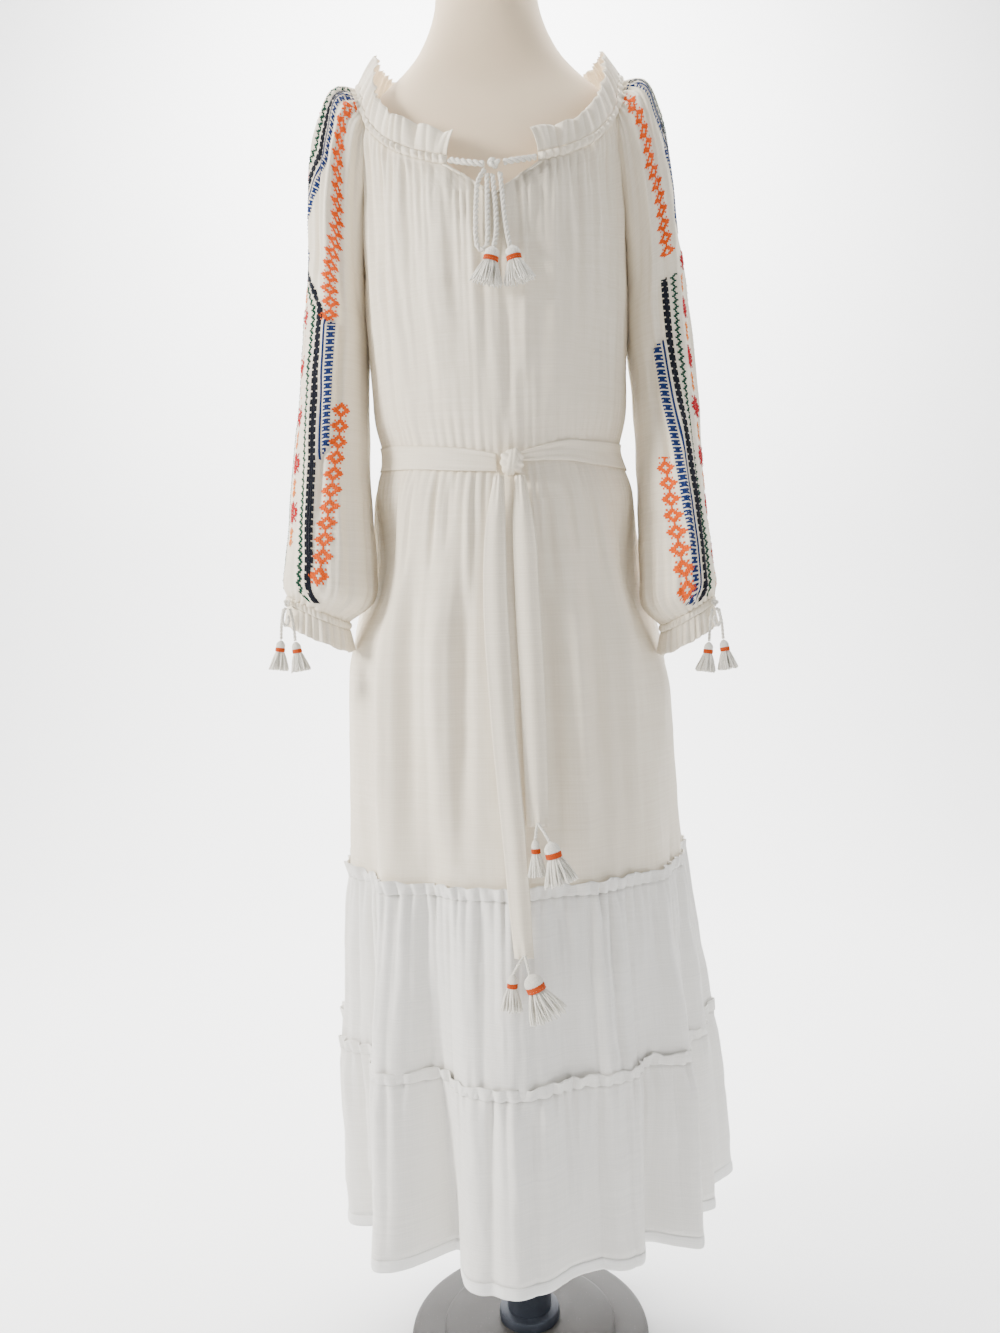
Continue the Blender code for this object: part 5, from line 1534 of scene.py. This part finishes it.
# ---------------------------------------------------------------- tiers
def tier_surface(high, low, seed, next_seam):
    """A tier: gathers under its seam fade into wide soft folds, with a slight crumple."""
    angles = ring_angles(TIER_COLUMNS)
    heights = np.linspace(high, low, TIER_ROWS)[:, None]
    below = high - heights
    fade = 0.055 + 0.034 * drift(angles / 360.0 * 60, 1.0, 60, seed + 9)
    out = TIER_GATHER_DEPTH * ridges(angles / 360.0 * TIER_GATHERS, seed,
                                     TIER_GATHERS) * np.exp(-below / fade)
    out = out + 0.0062 * ridges(angles / 360.0 * TIER_FOLDS, seed + 2,
                                TIER_FOLDS) * np.exp(-below / 0.26) * ease(below / 0.04 + 0.2)
    out = out + 0.0022 * ridges(angles / 360.0 * 84, seed + 4,
                                84) * np.exp(-(heights - low) / 0.02) * next_seam
    out = out + 0.0030 * drift(angles / 360.0 * 33, heights / 0.09, 33,
                               seed + 7) * ease(below / 0.05)
    out = out + 0.0011 * drift(angles / 360.0 * 90, heights / 0.030, 90, seed + 5)
    out = out + 0.0005 * drift(angles / 360.0 * 320, heights / 0.013, 320, seed + 6)
    return body_point(angles, heights, out)


def heading_surface(seam, seed, tier_seed):
    """The standing edge over a tier's seam: it hugs the gathers at its foot and waves at its free
    edge."""
    angles = ring_angles(TIER_COLUMNS)
    share = np.linspace(0, 1, HEADING_ROWS)[:, None]
    gathers = TIER_GATHER_DEPTH * ridges(angles / 360.0 * TIER_GATHERS, tier_seed, TIER_GATHERS)
    wave = ridges(angles / 360.0 * HEADING_WAVES, seed, HEADING_WAVES)
    loose = drift(angles / 360.0 * 83, 0.0, 83, seed + 3)
    out = (0.0012 + gathers * (1 - 0.5 * share)
           + share ** 0.9 * (0.0036 * wave + 0.0034 * loose + 0.0020))
    out = np.maximum(out, 0.0002 - 0.0020 * share)
    rise = share ** 1.4 * (0.0022 * np.roll(wave, 4) + 0.0020 * loose)
    return body_point(angles, seam - 0.002 + share * 0.0125 + rise, out)[::-1]


# ---------------------------------------------------------------- operators
def form_rows():
    """Rows of the torso from its underside to its neck, with both ends closed."""
    heights = np.linspace(FORM_RINGS[0][0], FORM_RINGS[-1][0], FORM_ROWS)
    turn = round_turn(FORM_COLUMNS)[None, :]
    width = read_table(FORM_RINGS, heights, 1)[:, None]
    front = read_table(FORM_RINGS, heights, 2)[:, None]
    behind = read_table(FORM_RINGS, heights, 3)[:, None]
    depth = np.where(np.cos(turn) > 0, front, behind)
    rows = np.stack([width * np.sin(turn), GARMENT_Y - depth * np.cos(turn),
                     heights[:, None] + 0 * turn], axis=-1)
    soft = 0.010
    under = [(0.0, 0.0), (0.5, 0.0), (0.94, 0.0), (0.975, 0.0008), (0.993, 0.0035)]
    middle = np.array((0.0, GARMENT_Y, 0.0))
    ends = [(rows[0] - middle) * np.array((scale, scale, 1.0)) + middle + np.array((0, 0, rise))
            for scale, rise in under]
    rows[0, :, 2] += soft
    top = [(rows[-1] - middle) * np.array((scale, scale, 1.0)) + middle for scale in (0.96, 0.0)]
    return np.concatenate([np.array(ends), rows[3:], np.array(top)])[::-1]


class DRESS_OT_form(bpy.types.Operator):
    """Make the covered torso, its neck cap, the pole, collar and base"""
    bl_idname = "dress.form"
    bl_label = "Dress Form"

    def execute(self, context):
        rows = form_rows()
        quads = grid_quads(len(rows), FORM_COLUMNS, closed=True)[0]
        torso = new_object("form_torso_cover", closed_mesh("torso", rows.reshape(-1, 3), quads),
                           form_cloth("form cover"))
        self.done(torso, "form_torso", "form_cloth")
        low = FORM_RINGS[-1][0] + PIECE_GAP
        radius = NECK_CAP_RADIUS
        cap = [(0.0, low + 0.006), (radius - 0.004, low + 0.006), (radius - 0.0012, low + 0.0052),
               (radius, low + 0.003), (radius - 0.0008, low + 0.0006), (radius - 0.002, low),
               (0.0, low)]
        self.turn("form_neck_cap_cover", cap, "form_neck_cap", "form_cloth",
                  form_cloth("form cover"), (0.0, GARMENT_Y))
        iron = painted_steel("base paint", (0.062, 0.058, 0.055), 0.50, 0.35)
        steel = painted_steel("pole paint", (0.030, 0.036, 0.050), 0.42, 0.45)
        disc = [(0.0, 0.0155), (DISH_RADIUS + 0.002, 0.0155), (BASE_RADIUS - 0.007, 0.0140),
                (BASE_RADIUS - 0.003, 0.0130), (BASE_RADIUS - 0.0008, 0.0110),
                (BASE_RADIUS, 0.0080),
                (BASE_RADIUS, 0.0020), (BASE_RADIUS - 0.0006, 0.0006), (BASE_RADIUS - 0.002, 0.0),
                (0.0, 0.0)]
        self.turn("base_disc_iron", disc, "base_disc", "base_paint", iron)
        dish = [(0.0, 0.0260), (COLLAR_RADIUS + 0.004, 0.0260), (0.060, 0.0249), (0.084, 0.0228),
                (DISH_RADIUS - 0.004, 0.0215), (DISH_RADIUS - 0.001, 0.0206),
                (DISH_RADIUS, 0.0192),
                (DISH_RADIUS, 0.0158), (0.0, 0.0158)]
        self.turn("base_dish_iron", dish, "base_dish", "base_paint", iron)
        collar = [(0.0, 0.038), (COLLAR_RADIUS - 0.004, 0.038), (COLLAR_RADIUS - 0.0012, 0.0368),
                  (COLLAR_RADIUS, 0.034), (COLLAR_RADIUS, 0.0263), (0.0, 0.0263)]
        self.turn("stand_collar_steel", collar, "stand_collar", "pole_paint", steel)
        top = FORM_RINGS[0][0] - PIECE_GAP
        pole = [(0.0, top), (POLE_RADIUS, top), (POLE_RADIUS, 0.5), (POLE_RADIUS, 0.2),
                (POLE_RADIUS, 0.0383), (0.0, 0.0383)]
        self.turn("stand_pole_steel", pole, "stand_pole", "pole_paint", steel)
        return {"FINISHED"}

    def turn(self, name, profile, node, slot, finish, centre=(0.0, 0.0)):
        doubled = [point for point in profile for _ in range(2)]
        points, quads = turned(doubled if len(profile) < 5 else profile, 128)
        made = new_object(name, closed_mesh(name, points + np.array((*centre, 0.0)), quads),
                          finish)
        made.data.set_sharp_from_angle(angle=math.radians(40))
        self.done(made, node, slot)

    def done(self, made, node, slot):
        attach(made, "root")
        stands_for(made, node)


class DRESS_OT_panels(bpy.types.Operator):
    """Make the front with its bound slit, and the back"""
    bl_idname = "dress.panels"
    bl_label = "Front and Back"

    def execute(self, context):
        left = front_side(-1.0)[:, ::-1]
        both = np.concatenate([left, front_side(1.0)], axis=1)
        front = cloth("front_panel_cloth", both, body_linen(), drop_column=PANEL_HALF, weld=True)
        stands_for(front, "front_panel")
        bindings = [self.binding(side, name) for side,
                    name in ((-1.0, "slit_binding_left"), (1.0, "slit_binding_right"))]
        back = cloth("back_panel_cloth", back_grid(), body_linen())
        stands_for(back, "back_panel")
        return {"FINISHED"}

    def binding(self, side, name):
        """A rolled strip along the slit's edge: half an ellipse across, laid on the front."""
        top = float(neckline_height(SLIT_TOP_ANGLE)) - CASING_HEIGHT
        heights = np.linspace(top, SLIT_BOTTOM_Z + 0.0005, 60)[:, None]
        across = np.linspace(0, 1, 11)[None, :]
        out = 0.0006 + 0.0020 * np.sin(math.pi * across) ** 0.6
        out = out + 0.0003 * drift(heights / 0.004, across * 2 + 3, 64, 301)
        angles = side * (slit_angle(heights) - 0.35 + across * 2.3)
        points = body_point(angles, heights + 0 * across, out)
        made = cloth(name + "_cloth", points if side > 0 else points[:, ::-1], trim_linen(),
                     wall=BINDING_WALL)
        stands_for(made, name)
        return made


class DRESS_OT_neck(bpy.types.Operator):
    """Make the gathered casing and the standing ruffle"""
    bl_idname = "dress.neck"
    bl_label = "Neckline"

    def execute(self, context):
        for name, points in (
                ("neck_casing", neck_band(-CASING_HEIGHT, 0.0, *CASING_GRID, CASING_RIBS,
                                          casing_shape)),
                ("neck_ruffle", neck_band(0.0002, RUFFLE_HEIGHT, *RUFFLE_GRID, RUFFLE_PLEATS,
                                          ruffle_shape))):
            made = cloth(name + "_cloth", points[::-1], trim_linen(), wall=TRIM_WALL)
            stands_for(made, name)
        return {"FINISHED"}


class DRESS_OT_sleeves(bpy.types.Operator):
    """Make the two sleeves with their cuff casings, ruffles and ties"""
    bl_idname = "dress.sleeves"
    bl_label = "Sleeves and Cuffs"

    def execute(self, context):
        for side_name in ("left", "right"):
            left = side_name == "left"
            sleeve = cloth("sleeve_" + side_name + "_cloth", sleeve_surface(side_name),
                           body_linen(),
                           flip=left, weld=True)
            stands_for(sleeve, "sleeve_" + side_name)
            casing = self.cuff(side_name, "cuff_casing_", 7, (0.0, CUFF_CASING_DROP), CUFF_RIBS)
            ruffle = self.cuff(side_name, "cuff_ruffle_", 12,
                               (CUFF_CASING_DROP, CUFF_CASING_DROP + CUFF_RUFFLE_DROP),
                               CUFF_PLEATS)
            self.tie(side_name)
        return {"FINISHED"}

    def cuff(self, side_name, kind, rows, drops, count):
        """A gathered ring below a sleeve: ribs on the casing, opening pleats on the ruffle."""
        turns = np.linspace(-1, 1, CUFF_COLUMNS + 1)[:-1]
        ridge = ridges((turns + 1) / 2 * count, 401, count)
        wide = ridges((turns + 1) / 2 * (count // 3), 403, count // 3)
        loose = drift((turns + 1) / 2 * 11, 0.0, 11, 405)
        rings = []
        for share in np.linspace(0, 1, rows):
            drop = drops[0] + (drops[1] - drops[0]) * share
            if kind == "cuff_casing_":
                swell = 0.0007 + 0.0013 * math.sin(math.pi * share) ** 0.7
                ripple = 0.0017 * ridge * math.sin(math.pi * share) ** 0.5
            else:
                swell = 0.0006 + 0.0008 * share
                ripple = (0.0012 * ridge * (1 - share)
                          + share ** 0.8 * (0.0026 * ridge + 0.0034 * wide + 0.002 * loose))
            ring = cuff_ring(side_name, drop, np.full(CUFF_COLUMNS, swell), CUFF_COLUMNS, ripple)
            ring[:, 2] += (0.0016 * wide + 0.0026 * loose) * share ** 2 * (kind == "cuff_ruffle_")
            rings.append(ring)
        made = cloth(kind + side_name + "_cloth", np.array(rings), trim_linen(), closed=True,
                     flip=side_name == "left", wall=TRIM_WALL)
        stands_for(made, kind + side_name)
        return made

    def tie(self, side_name):
        places = cuff_places(side_name)
        points, quads = round_knot(places["knot"], (0.0085, 0.0085, 0.0085), 0.0030)
        knot = new_object("cuff_tie_" + side_name + "_knot",
                          closed_mesh("cuff knot", points, quads), cotton())
        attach(knot, "root")
        stands_for(knot, "cuff_tie_knot_" + side_name)
        for kind in ("loop", "cord_a", "cord_b"):
            path = smooth_route(places[kind], 0.0012)
            made = twisted_cord("cuff_tie_" + side_name + "_" + kind, path, CUFF_CORD_DIAMETER,
                                cotton(),
                                "cuff_tie_" + (kind + "_" if kind != "loop" else "loop_")
                                + side_name)
            pieces = []
            if kind != "loop":
                letter = kind[-1]
                seed = 500 + 10 * (side_name == "left") + ord(letter)
                pieces = make_tassel("cuff_tassel_" + letter + "_" + side_name,
                                     places["tassel_" + letter], seed)


class DRESS_OT_embroidery(bpy.types.Operator):
    """Work the flowers, sprigs, zigzag, chain, bobbins and stars down both sleeves"""
    bl_idname = "dress.embroidery"
    bl_label = "Embroidery"

    def execute(self, context):
        for side_name in ("left", "right"):
            sleeve = SleeveMap(side_name)
            for colour, cells in thread_plan(float(sleeve.along[-1])).items():
                name = "stitches_" + colour + "_" + side_name
                finish = thread_material(colour + " thread",
                                         tuple(getattr(context.scene.dress_threads, colour)))
                made = new_object(name, stitch_mesh(name, sleeve, cells, colour == "orange"),
                                  finish)
                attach(made, "root")
        return {"FINISHED"}


class DRESS_OT_bow(bpy.types.Operator):
    """Make the drawstring, its knot, the bow's loop and tails, and their tassels"""
    bl_idname = "dress.bow"
    bl_label = "Neck Bow"

    def execute(self, context):
        x, z = BOW_KNOT
        centre = (x, float(front_y(x, z)) - 0.0100, z)
        points, quads = round_knot(centre, (0.0140, 0.0110, 0.0105), 0.0042)
        knot = new_object("bow_knot_cord", closed_mesh("bow knot", points, quads), cotton())
        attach(knot, "root")
        stands_for(knot, "bow_knot")
        for number, name in enumerate(("neck_tassel_left", "neck_tassel_right")):
            make_tassel(name, TASSELS[name], 601 + number)
        for routes, diameter in ((BOW_ROUTES, CORD_DIAMETER),
                                 (DRAWSTRING_ROUTES, DRAWSTRING_DIAMETER)):
            for name, rows in routes.items():
                path = smooth_route(panel_route(rows, diameter), 0.0015)
                made = twisted_cord(name + "_twist", path, diameter, cotton(), name)
        return {"FINISHED"}


class DRESS_OT_belt(bpy.types.Operator):
    """Make the belt, its knot, its two ends and their tassels"""
    bl_idname = "dress.belt"
    bl_label = "Belt"

    def execute(self, context):
        band = cloth("belt_band_cloth", belt_surface(), trim_linen(), wall=BELT_WALL)
        stands_for(band, "belt_band")
        lump, over = belt_knot_parts()
        quads = grid_quads(*lump.shape[:2], closed=True)[0]
        knot = new_object("belt_knot_lump", closed_mesh("belt knot", lump.reshape(-1, 3), quads),
                          trim_linen())
        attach(knot, "root")
        stands_for(knot, "belt_knot")
        over_closed = np.concatenate([over, over[:1]])
        strap = cloth("belt_knot_strap", over_closed, trim_linen(), wall=BELT_WALL, weld=True)
        for seed, (name, table) in enumerate(BELT_TAILS.items()):
            tail = cloth(name + "_cloth", tail_surface(table, 701 + 10 * seed), trim_linen(),
                         wall=TAIL_WALL)
            stands_for(tail, name)
            pieces = []
            for letter in ("a", "b"):
                tassel_name = name.replace("tail", "tassel") + "_" + letter
                pieces += make_tassel(tassel_name, TASSELS[tassel_name],
                                      800 + 10 * seed + ord(letter))
                pieces.append(self.link(table, TASSELS[tassel_name], tassel_name))
        return {"FINISHED"}

    def link(self, table, place, name):
        """The short cord from the end of a belt tail to a tassel's head."""
        low, middle, _, depth = table[-1]
        start = np.array((middle, depth + GARMENT_Y, low + 0.004))
        end = np.array((place[0], place[2] + GARMENT_Y, place[1] - 0.001))
        half = (start + end) / 2 + np.array((0.0, -0.0015, 0.0015))
        path = smooth_route([start, half, end], 0.001)
        made = new_object(name + "_link", closed_mesh(name, *twisted(path, 0.0030)), cotton())
        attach(made, "root")
        return made


class DRESS_OT_tiers(bpy.types.Operator):
    """Make the two gathered tiers, their standing headings and the hem"""
    bl_idname = "dress.tiers"
    bl_label = "Tiers and Hem"

    def execute(self, context):
        seams = ((1, TIER_1_TOP_Z, TIER_2_TOP_Z, 901, 1.0), (2, TIER_2_TOP_Z, HEM_TOP_Z, 951, 0.0))
        tiers = {}
        for number, high, low, seed, next_seam in seams:
            name = "tier_%d" % number
            tiers[number] = cloth(name + "_cloth",
                                  tier_surface(high - PIECE_GAP, low, seed, next_seam),
                                  tier_linen(), closed=True)
            stands_for(tiers[number], name)
            heading = cloth(name + "_heading_cloth", heading_surface(high, 981 + number, seed),
                            tier_linen(),
                            closed=True, wall=TRIM_WALL)
            stands_for(heading, name + "_heading")
        angles = ring_angles(TIER_COLUMNS)
        last = tier_surface(TIER_2_TOP_Z - PIECE_GAP, HEM_TOP_Z, 951, 0.0)[-1]
        away = last - body_point(angles, np.full_like(angles, HEM_TOP_Z))
        share = np.linspace(0, 1, 6)[:, None]
        heights = HEM_TOP_Z - 0.0002 + (HEM_Z - HEM_TOP_Z) * share
        roll = 0.0007 * np.sin(math.pi * share) ** 0.5
        band = body_point(angles, heights + 0 * angles,
                          roll + 0.0004) + away[None] * (1 - 0.2 * share[..., None])
        hem = cloth("hem_band_cloth", band, hem_linen(), closed=True, wall=HEM_WALL)
        stands_for(hem, "hem_band")
        return {"FINISHED"}


class DRESS_OT_stage(bpy.types.Operator):
    """Set the floor and backdrop, the soft lights and the camera"""
    bl_idname = "dress.stage"
    bl_label = "Stage"

    def execute(self, context):
        self.floor()
        self.lights(context.scene)
        self.camera(context.scene)
        return {"FINISHED"}

    def floor(self):
        """A pale sheet that runs along the floor and curves up behind."""
        bend = np.linspace(0, math.pi / 2, 25)
        run = np.concatenate([[-4.0, -2.0, 0.0, 1.4], 1.6 + 1.2 * np.sin(bend), [2.8, 2.8]])
        rise = np.concatenate([[0.0, 0.0, 0.0, 0.0], 1.2 * (1 - np.cos(bend)), [3.0, 5.0]])
        wide = np.linspace(-6, 6, 9)[None, :]
        points = np.stack([wide + 0 * run[:, None], run[:, None] + 0 * wide,
                           rise[:, None] + 0 * wide], axis=-1)
        quads = grid_quads(len(run), 9)[0]
        nodes = Nodes("stage paper")
        cloud = nodes.noise((1.5, 1.5, 1.5), 2.0, 0.5, uv=False)
        nodes.colour(nodes.mix(cloud, (0.90, 0.90, 0.90, 1.0), (0.93, 0.93, 0.93, 1.0)))
        paper = nodes.finish(0.95, specular=0.05)
        floor = new_object("stage_floor", mesh_from("stage floor", points.reshape(-1, 3), quads),
                           paper)

    def lights(self, scene):
        """A big soft key in front to the left, a fill to the right, a top light and a pale
        world."""
        for name, place, aim, size, power, colour in (
                ("key", (-2.5, -0.95, 1.9), (0.0, 0.0, 0.90), 0.75, 138.0, (1.0, 0.970, 0.92)),
                ("fill", (2.0, -2.4, 1.0), (0.0, 0.0, 0.8), 2.4, 17.0, (0.97, 0.985, 1.0)),
                ("top", (0.3, 0.2, 3.4), (0.0, 0.0, 0.6), 2.6, 34.0, (1.0, 1.0, 1.0)),
                ("backdrop", (0.0, 1.0, 3.0), (0.0, 2.8, 1.2), 3.0, 420.0, (1.0, 1.0, 1.0))):
            light = bpy.data.lights.new(name, "AREA")
            light.shape = "DISK"
            light.size = size
            light.energy = power
            light.color = colour
            lamp = bpy.data.objects.new("lamp_" + name, light)
            direction = Vector(aim) - Vector(place)
            lamp.rotation_euler = direction.to_track_quat("-Z", "Y").to_euler()
            lamp.location = place
            scene.collection.objects.link(lamp)
        world = bpy.data.worlds.new("studio")
        world.use_nodes = True
        world.node_tree.nodes["Background"].inputs["Color"].default_value = (1.0, 1.0, 1.0, 1.0)
        world.node_tree.nodes["Background"].inputs["Strength"].default_value = 0.50
        scene.world = world

    def camera(self, scene):
        """A camera at chest height, tipped slightly down and rolled a little."""
        tip = math.radians(CAMERA_TIP)
        roll = math.radians(CAMERA_ROLL)
        ahead = np.array((0.0, math.cos(tip), math.sin(tip)))
        right = np.array((1.0, 0.0, 0.0))
        up = np.cross(right, ahead)
        rolled_right = math.cos(roll) * right - math.sin(roll) * up
        rolled_up = math.sin(roll) * right + math.cos(roll) * up
        turn = np.stack([rolled_right, rolled_up, -ahead], axis=1)
        camera = bpy.data.cameras.new("camera")
        camera.sensor_fit = "VERTICAL"
        camera.sensor_height = 36.0
        camera.lens = CAMERA_LENS
        holder = bpy.data.objects.new("camera", camera)
        holder.matrix_world = Matrix.Translation(CAMERA_PLACE) @ Matrix(turn.tolist()).to_4x4()
        scene.collection.objects.link(holder)
        scene.camera = holder


class DRESS_PT_panel(bpy.types.Panel):
    """Lists the dress's pieces"""
    bl_idname = "DRESS_PT_panel"
    bl_label = "Dress"
    bl_space_type = "VIEW_3D"
    bl_region_type = "UI"
    bl_category = "Dress"

    def draw(self, context):
        cloth_set = context.scene.dress_cloth
        for name in ("wall", "tint", "tier_tint", "hem_tint", "gather_depth", "gather_pitch"):
            self.layout.prop(cloth_set, name)
        for name in ("orange", "amber", "red", "blue", "black", "green", "tie"):
            self.layout.prop(context.scene.dress_threads, name)
        for step in STEPS:
            self.layout.operator(step.bl_idname)


SETTINGS = (ClothSettings, ThreadSettings)
STEPS = (DRESS_OT_stage, DRESS_OT_bow, DRESS_OT_form, DRESS_OT_panels, DRESS_OT_neck,
         DRESS_OT_sleeves,
         DRESS_OT_embroidery, DRESS_OT_belt, DRESS_OT_tiers)


def register():
    for item in (*SETTINGS, *STEPS, DRESS_PT_panel):
        bpy.utils.register_class(item)
    bpy.types.Scene.dress_cloth = bpy.props.PointerProperty(type=ClothSettings)
    bpy.types.Scene.dress_threads = bpy.props.PointerProperty(type=ThreadSettings)


def unregister():
    del bpy.types.Scene.dress_threads
    del bpy.types.Scene.dress_cloth
    for item in reversed((*SETTINGS, *STEPS, DRESS_PT_panel)):
        bpy.utils.unregister_class(item)


def main():
    register()
    bpy.ops.dress.stage()
    bpy.ops.dress.bow()
    bpy.ops.dress.form()
    bpy.ops.dress.panels()
    bpy.ops.dress.neck()
    bpy.ops.dress.sleeves()
    bpy.ops.dress.embroidery()
    bpy.ops.dress.belt()
    bpy.ops.dress.tiers()


if __name__ == "__main__":
    main()
